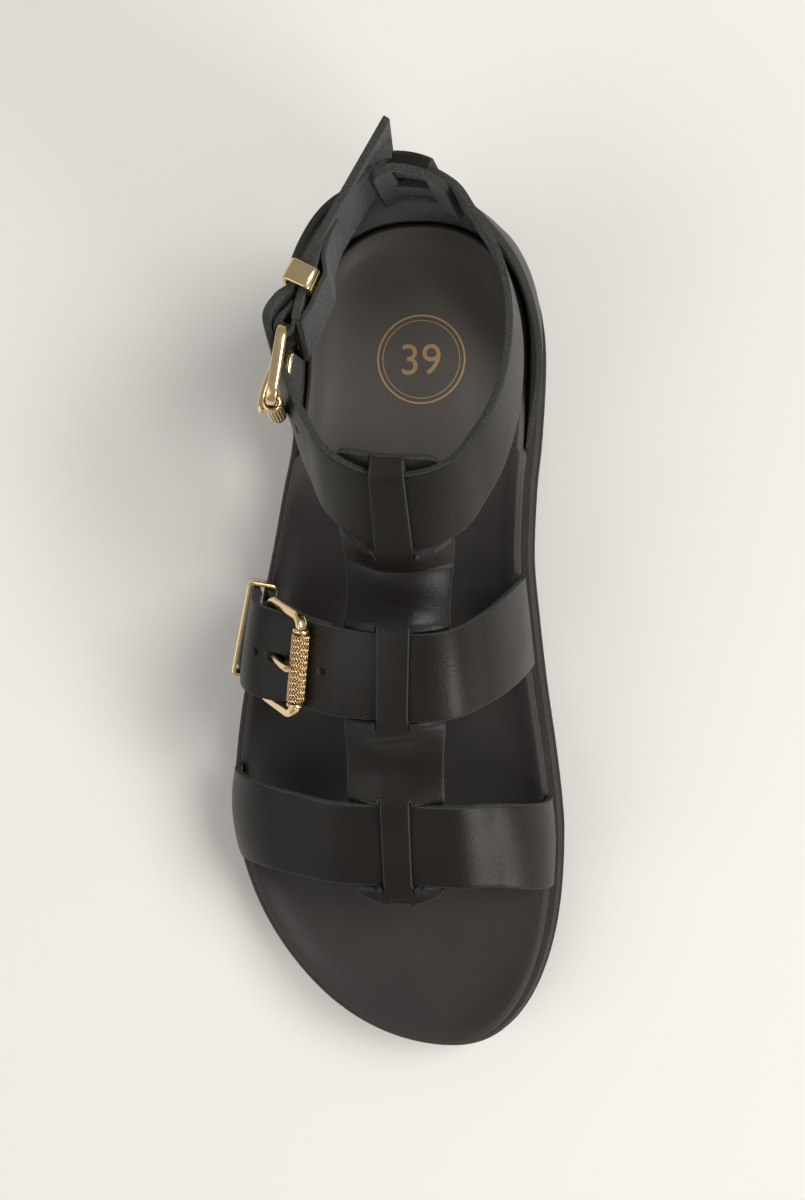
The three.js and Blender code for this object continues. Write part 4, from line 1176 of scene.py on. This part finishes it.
def strip_creases(station, offset):
    """Soft troughs and ridges where the strip bends up before and after each bridge."""
    height = 0
    for rear, front in CROSSINGS:
        for edge, away in ((rear, -1), (front, 1)):
            beyond = (station - edge) * away
            fade = np.exp(-((beyond - CREASE["beyond"]) / CREASE["reach"]) ** 2)
            fade = fade * np.exp(-(offset / CREASE["width"]) ** 2)
            wave = np.cos(2 * math.pi * (beyond + CREASE["slant"] * offset) / CREASE["pitch"])
            height = height + CREASE["height"] * fade * wave
    return height * quarter(offset / (STRIP["width"] / 2 + 0.1), 3)


def bridge_lift(station):
    """How far the slit middle stands over the strip's own line, how far its sides rise with
    it before they dive, and where they're pressed down under the strap."""
    middle, sides, under = 0 * station, 0 * station, 0 * station
    for rear, front in CROSSINGS:
        outside = np.maximum(rear - station, station - front)
        inside_ring = (rear == RING_FRONT) & (station < rear)
        reach = np.where(inside_ring, SLIT["short"], SLIT["reach"])
        up = ramp(reach, -1.0, outside)
        dive = np.where(inside_ring, 1.0, ramp(SLIT["dive"], 0.2, outside))
        middle = np.maximum(middle, SLIT["lift"] * up)
        sides = np.maximum(sides, SLIT["lift"] * up * (1 - dive))
        under = np.maximum(under, np.minimum(dive, up))
    return middle, sides, under


half_width, half_bridge = STRIP["width"] / 2, STRIP["bridge"] / 2
strip_rows = np.linspace(STRIP["front"], STRIP["rear"], 300)[:, None]
flat_offsets = np.concatenate([
    np.linspace(half_width, half_bridge, 11), np.linspace(half_bridge, -half_bridge, 11)[1:],
    np.linspace(-half_bridge, -half_width, 11)[1:]])[None, :]
strip_at = strip_station(strip_rows, flat_offsets / half_width)
flat_strip = strip_point(strip_at, flat_offsets)
# Rows run towards the heel, so that along crossed with across points off the foot.
off_strip = lifted(flat_strip, np.ones(strip_at.shape)) - flat_strip
strip_grids = []
for band, middle_band in ((slice(0, 11), False), (slice(10, 21), True), (slice(20, 31), False)):
    at, offsets = strip_at[:, band], flat_offsets[:, band]
    middle, sides, under = bridge_lift(at)
    opened = np.clip(middle - sides, 0, SLIT["open_at"]) / SLIT["open_at"] * SLIT["gap"] / 2
    if middle_band:
        lift = middle
        shifted = offsets * (1 - opened / half_bridge)
    else:
        outer = (np.abs(offsets) - half_bridge) / (half_width - half_bridge)
        lift = sides * (1 - SLIT["droop"] * outer)
        lift = lift - under * PRESS["depth"] * np.exp(-(offsets / PRESS["reach"]) ** 2)
        shifted = offsets + np.sign(offsets) * opened * np.clip(1 - SLIT["taper"] * outer, 0, 1)
    lift = lift + strip_creases(at, offsets)
    strip_grids.append(strip_point(at, shifted) + off_strip[:, band] * lift[..., None])


def strip_slits(places):
    """True for places along the strip's slits, near where they end."""
    station = -places[:, 1]
    beside = np.abs(places[:, 0] - strip_x(station))
    middle, sides, _ = bridge_lift(station)
    return (middle - sides < 1.6) & (np.abs(beside - half_bridge) < 1.2)


leather_piece("leather_centre_strip", strip_grids, slit=strip_slits)

# ---------------------------------------------------------------- heel counter
# A moulded cup of the same leather stands round the heel, its lower edge turned in under
# the footbed and its top edge cut in one sweep from the back tab down to the sides.
COUNTER_TOP = table("at z", (0, 88), (9, 84), (23, 69), (43, 50), (61, 35.5), (74, 28))
COUNTER_LEAN = table(
    "at side back", (24, 0, 0), (44, -2.4, -0.4), (64, -0.4, 0.8), (90, 3.4, 2.8))

counter_turn = turn_at(COUNTER_TOP["at"][-1])
counter_turns = np.linspace(-counter_turn, counter_turn, 160)
counter_station = -outline_point(counter_turns)[:, 1]
counter_foot = wall_z(counter_station)
counter_top = np.maximum(counter_foot + 1, column(COUNTER_TOP, "z", counter_station))
counter_columns = []
for back, up in ((8, 0), (4, 0), (1, 0), (0.62, 0.076), (0.293, 0.293), (0.076, 0.62)):
    place = inset_point(counter_turns, STRAP_INSET + back + 0 * counter_turns)
    place[:, 2] = counter_foot - TUCK["fillet"] + up
    counter_columns.append(place)
for t in np.linspace(0, 1, 26):
    z = mix(counter_foot, counter_top, t)
    beside = ramp(0, 16, counter_station)
    lean = mix(column(COUNTER_LEAN, "back", z), column(COUNTER_LEAN, "side", z), beside)
    place = inset_point(counter_turns, STRAP_INSET + lean)
    place[:, 2] = z
    counter_columns.append(place)
leather_piece("leather_heel_counter", [np.stack(counter_columns, axis=1)])

# ---------------------------------------------------------------- back tab
# A tab on the counter's back carries the ankle strap: its wings pass inside the strap and
# its slit middle outside it.
TAB = {"centre_x": 5.4, "width": 19.0, "bridge": 8.6, "top": -0.12, "bottom": 1.35, "round": 0.17}
TAB_SLIT = {"top": -0.05, "bottom": 1.2, "climb": 0.16}


def tab_grid(low, high, steps, middle_band):
    """A band of the tab between two places across; rows run up from the counter."""
    offsets = np.linspace(low, high, steps + 1)[None, :]
    rows = np.linspace(TAB["bottom"], TAB["top"], 90)[:, None]
    u = offsets / (TAB["width"] / 2)
    near_top = ramp(TAB["top"] + 0.35, TAB["top"], rows)
    down = rows + TAB["round"] * (1 - quarter(u, 2.6)) * near_top
    lift = 0 * down
    if middle_band:
        lift = 2 * LAYER * np.minimum(
            ramp(TAB_SLIT["bottom"], TAB_SLIT["bottom"] - TAB_SLIT["climb"], down),
            ramp(TAB_SLIT["top"], TAB_SLIT["top"] + TAB_SLIT["climb"] / 2, down))
    x = TAB["centre_x"] + offsets + 0 * down
    return lifted(ring_point(ring_degrees(x, 1), down), lift)


tab_half, tab_bridge = TAB["width"] / 2, TAB["bridge"] / 2


def tab_slits(places):
    """True for places along the tab's slits."""
    return np.abs(np.abs(places[:, 0] - TAB["centre_x"]) - tab_bridge) < 1.2


leather_piece("leather_back_tab", [
    tab_grid(-tab_half, -tab_bridge, 6, False),
    tab_grid(-tab_bridge, tab_bridge, 8, True),
    tab_grid(tab_bridge, tab_half, 6, False),
], slit=tab_slits)

# ---------------------------------------------------------------- floor, light and camera
# A plain pale floor, one large soft light high on the right, a weak fill, and the camera
# looking down on the shoe from where it stood over the pair.
tree, where, end = new_finish("pale_floor")
_, tone = clouded(tree, where, 300, 2.0, "#f1efeb", "#f5f3f0")
PALE_FLOOR = end({"Base Color": tone, "Roughness": 0.85, "Specular IOR Level": 0.2})
floor_half = 3000.0
floor = new_piece(
    "studio_floor",
    np.array([(x, y, 0) for x, y in ((-1, -1), (1, -1), (1, 1), (-1, 1))]) * floor_half - SHIFT,
    [(0, 1, 2, 3)], [PALE_FLOOR], shut=False)


def soft_light(name, place, aim, size, power, colour):
    """A square area light in metres, aimed at a point."""
    lamp = bpy.data.lights.new(name, "AREA")
    lamp.shape, lamp.size, lamp.energy = "SQUARE", size, power
    lamp.color = linear(colour)[:3]
    stand = put(name, lamp)
    stand.location = place
    look = np.array(aim, float) - np.array(place, float)
    pitch = math.atan2(math.hypot(look[0], look[1]), -look[2])
    stand.rotation_euler = (pitch, 0, math.atan2(look[1], look[0]) - math.pi / 2)


soft_light("key_light", (0.95, 0.42, 1.35), (0, 0, 0), 0.75, 14.5, "#fffdfa")
soft_light("fill_light", (-1.0, -0.5, 1.2), (0, 0, 0), 1.3, 7, "#fffaf3")
soft_light("low_light", (1.5, -1.25, 0.95), (0, 0, 0), 0.8, 19, "#fffaf2")
world = bpy.data.worlds.new("studio")
bpy.context.scene.world = world
world.use_nodes = True
sky = world.node_tree.nodes["Background"].inputs
sky["Color"].default_value = linear("#f5f4f2")
sky["Strength"].default_value = 0.34
bpy.context.scene.view_settings.view_transform = "Standard"

EYE = (0.05855, 0.02052, 0.5)
AIM = (0.004, 0.008, 0.03)
lens = bpy.data.cameras.new("overhead_camera")
lens.sensor_fit, lens.sensor_height, lens.sensor_width, lens.lens = "VERTICAL", 36.0, 36.0, 46.0
camera = put("overhead_camera", lens)
back = unit(np.array(EYE) - np.array(AIM))
right = unit(np.cross((0, 1, 0), back))
up = np.cross(back, right)
camera.matrix_world = Matrix([*zip(right, up, back, EYE), (0, 0, 0, 1)])
bpy.context.scene.camera = camera
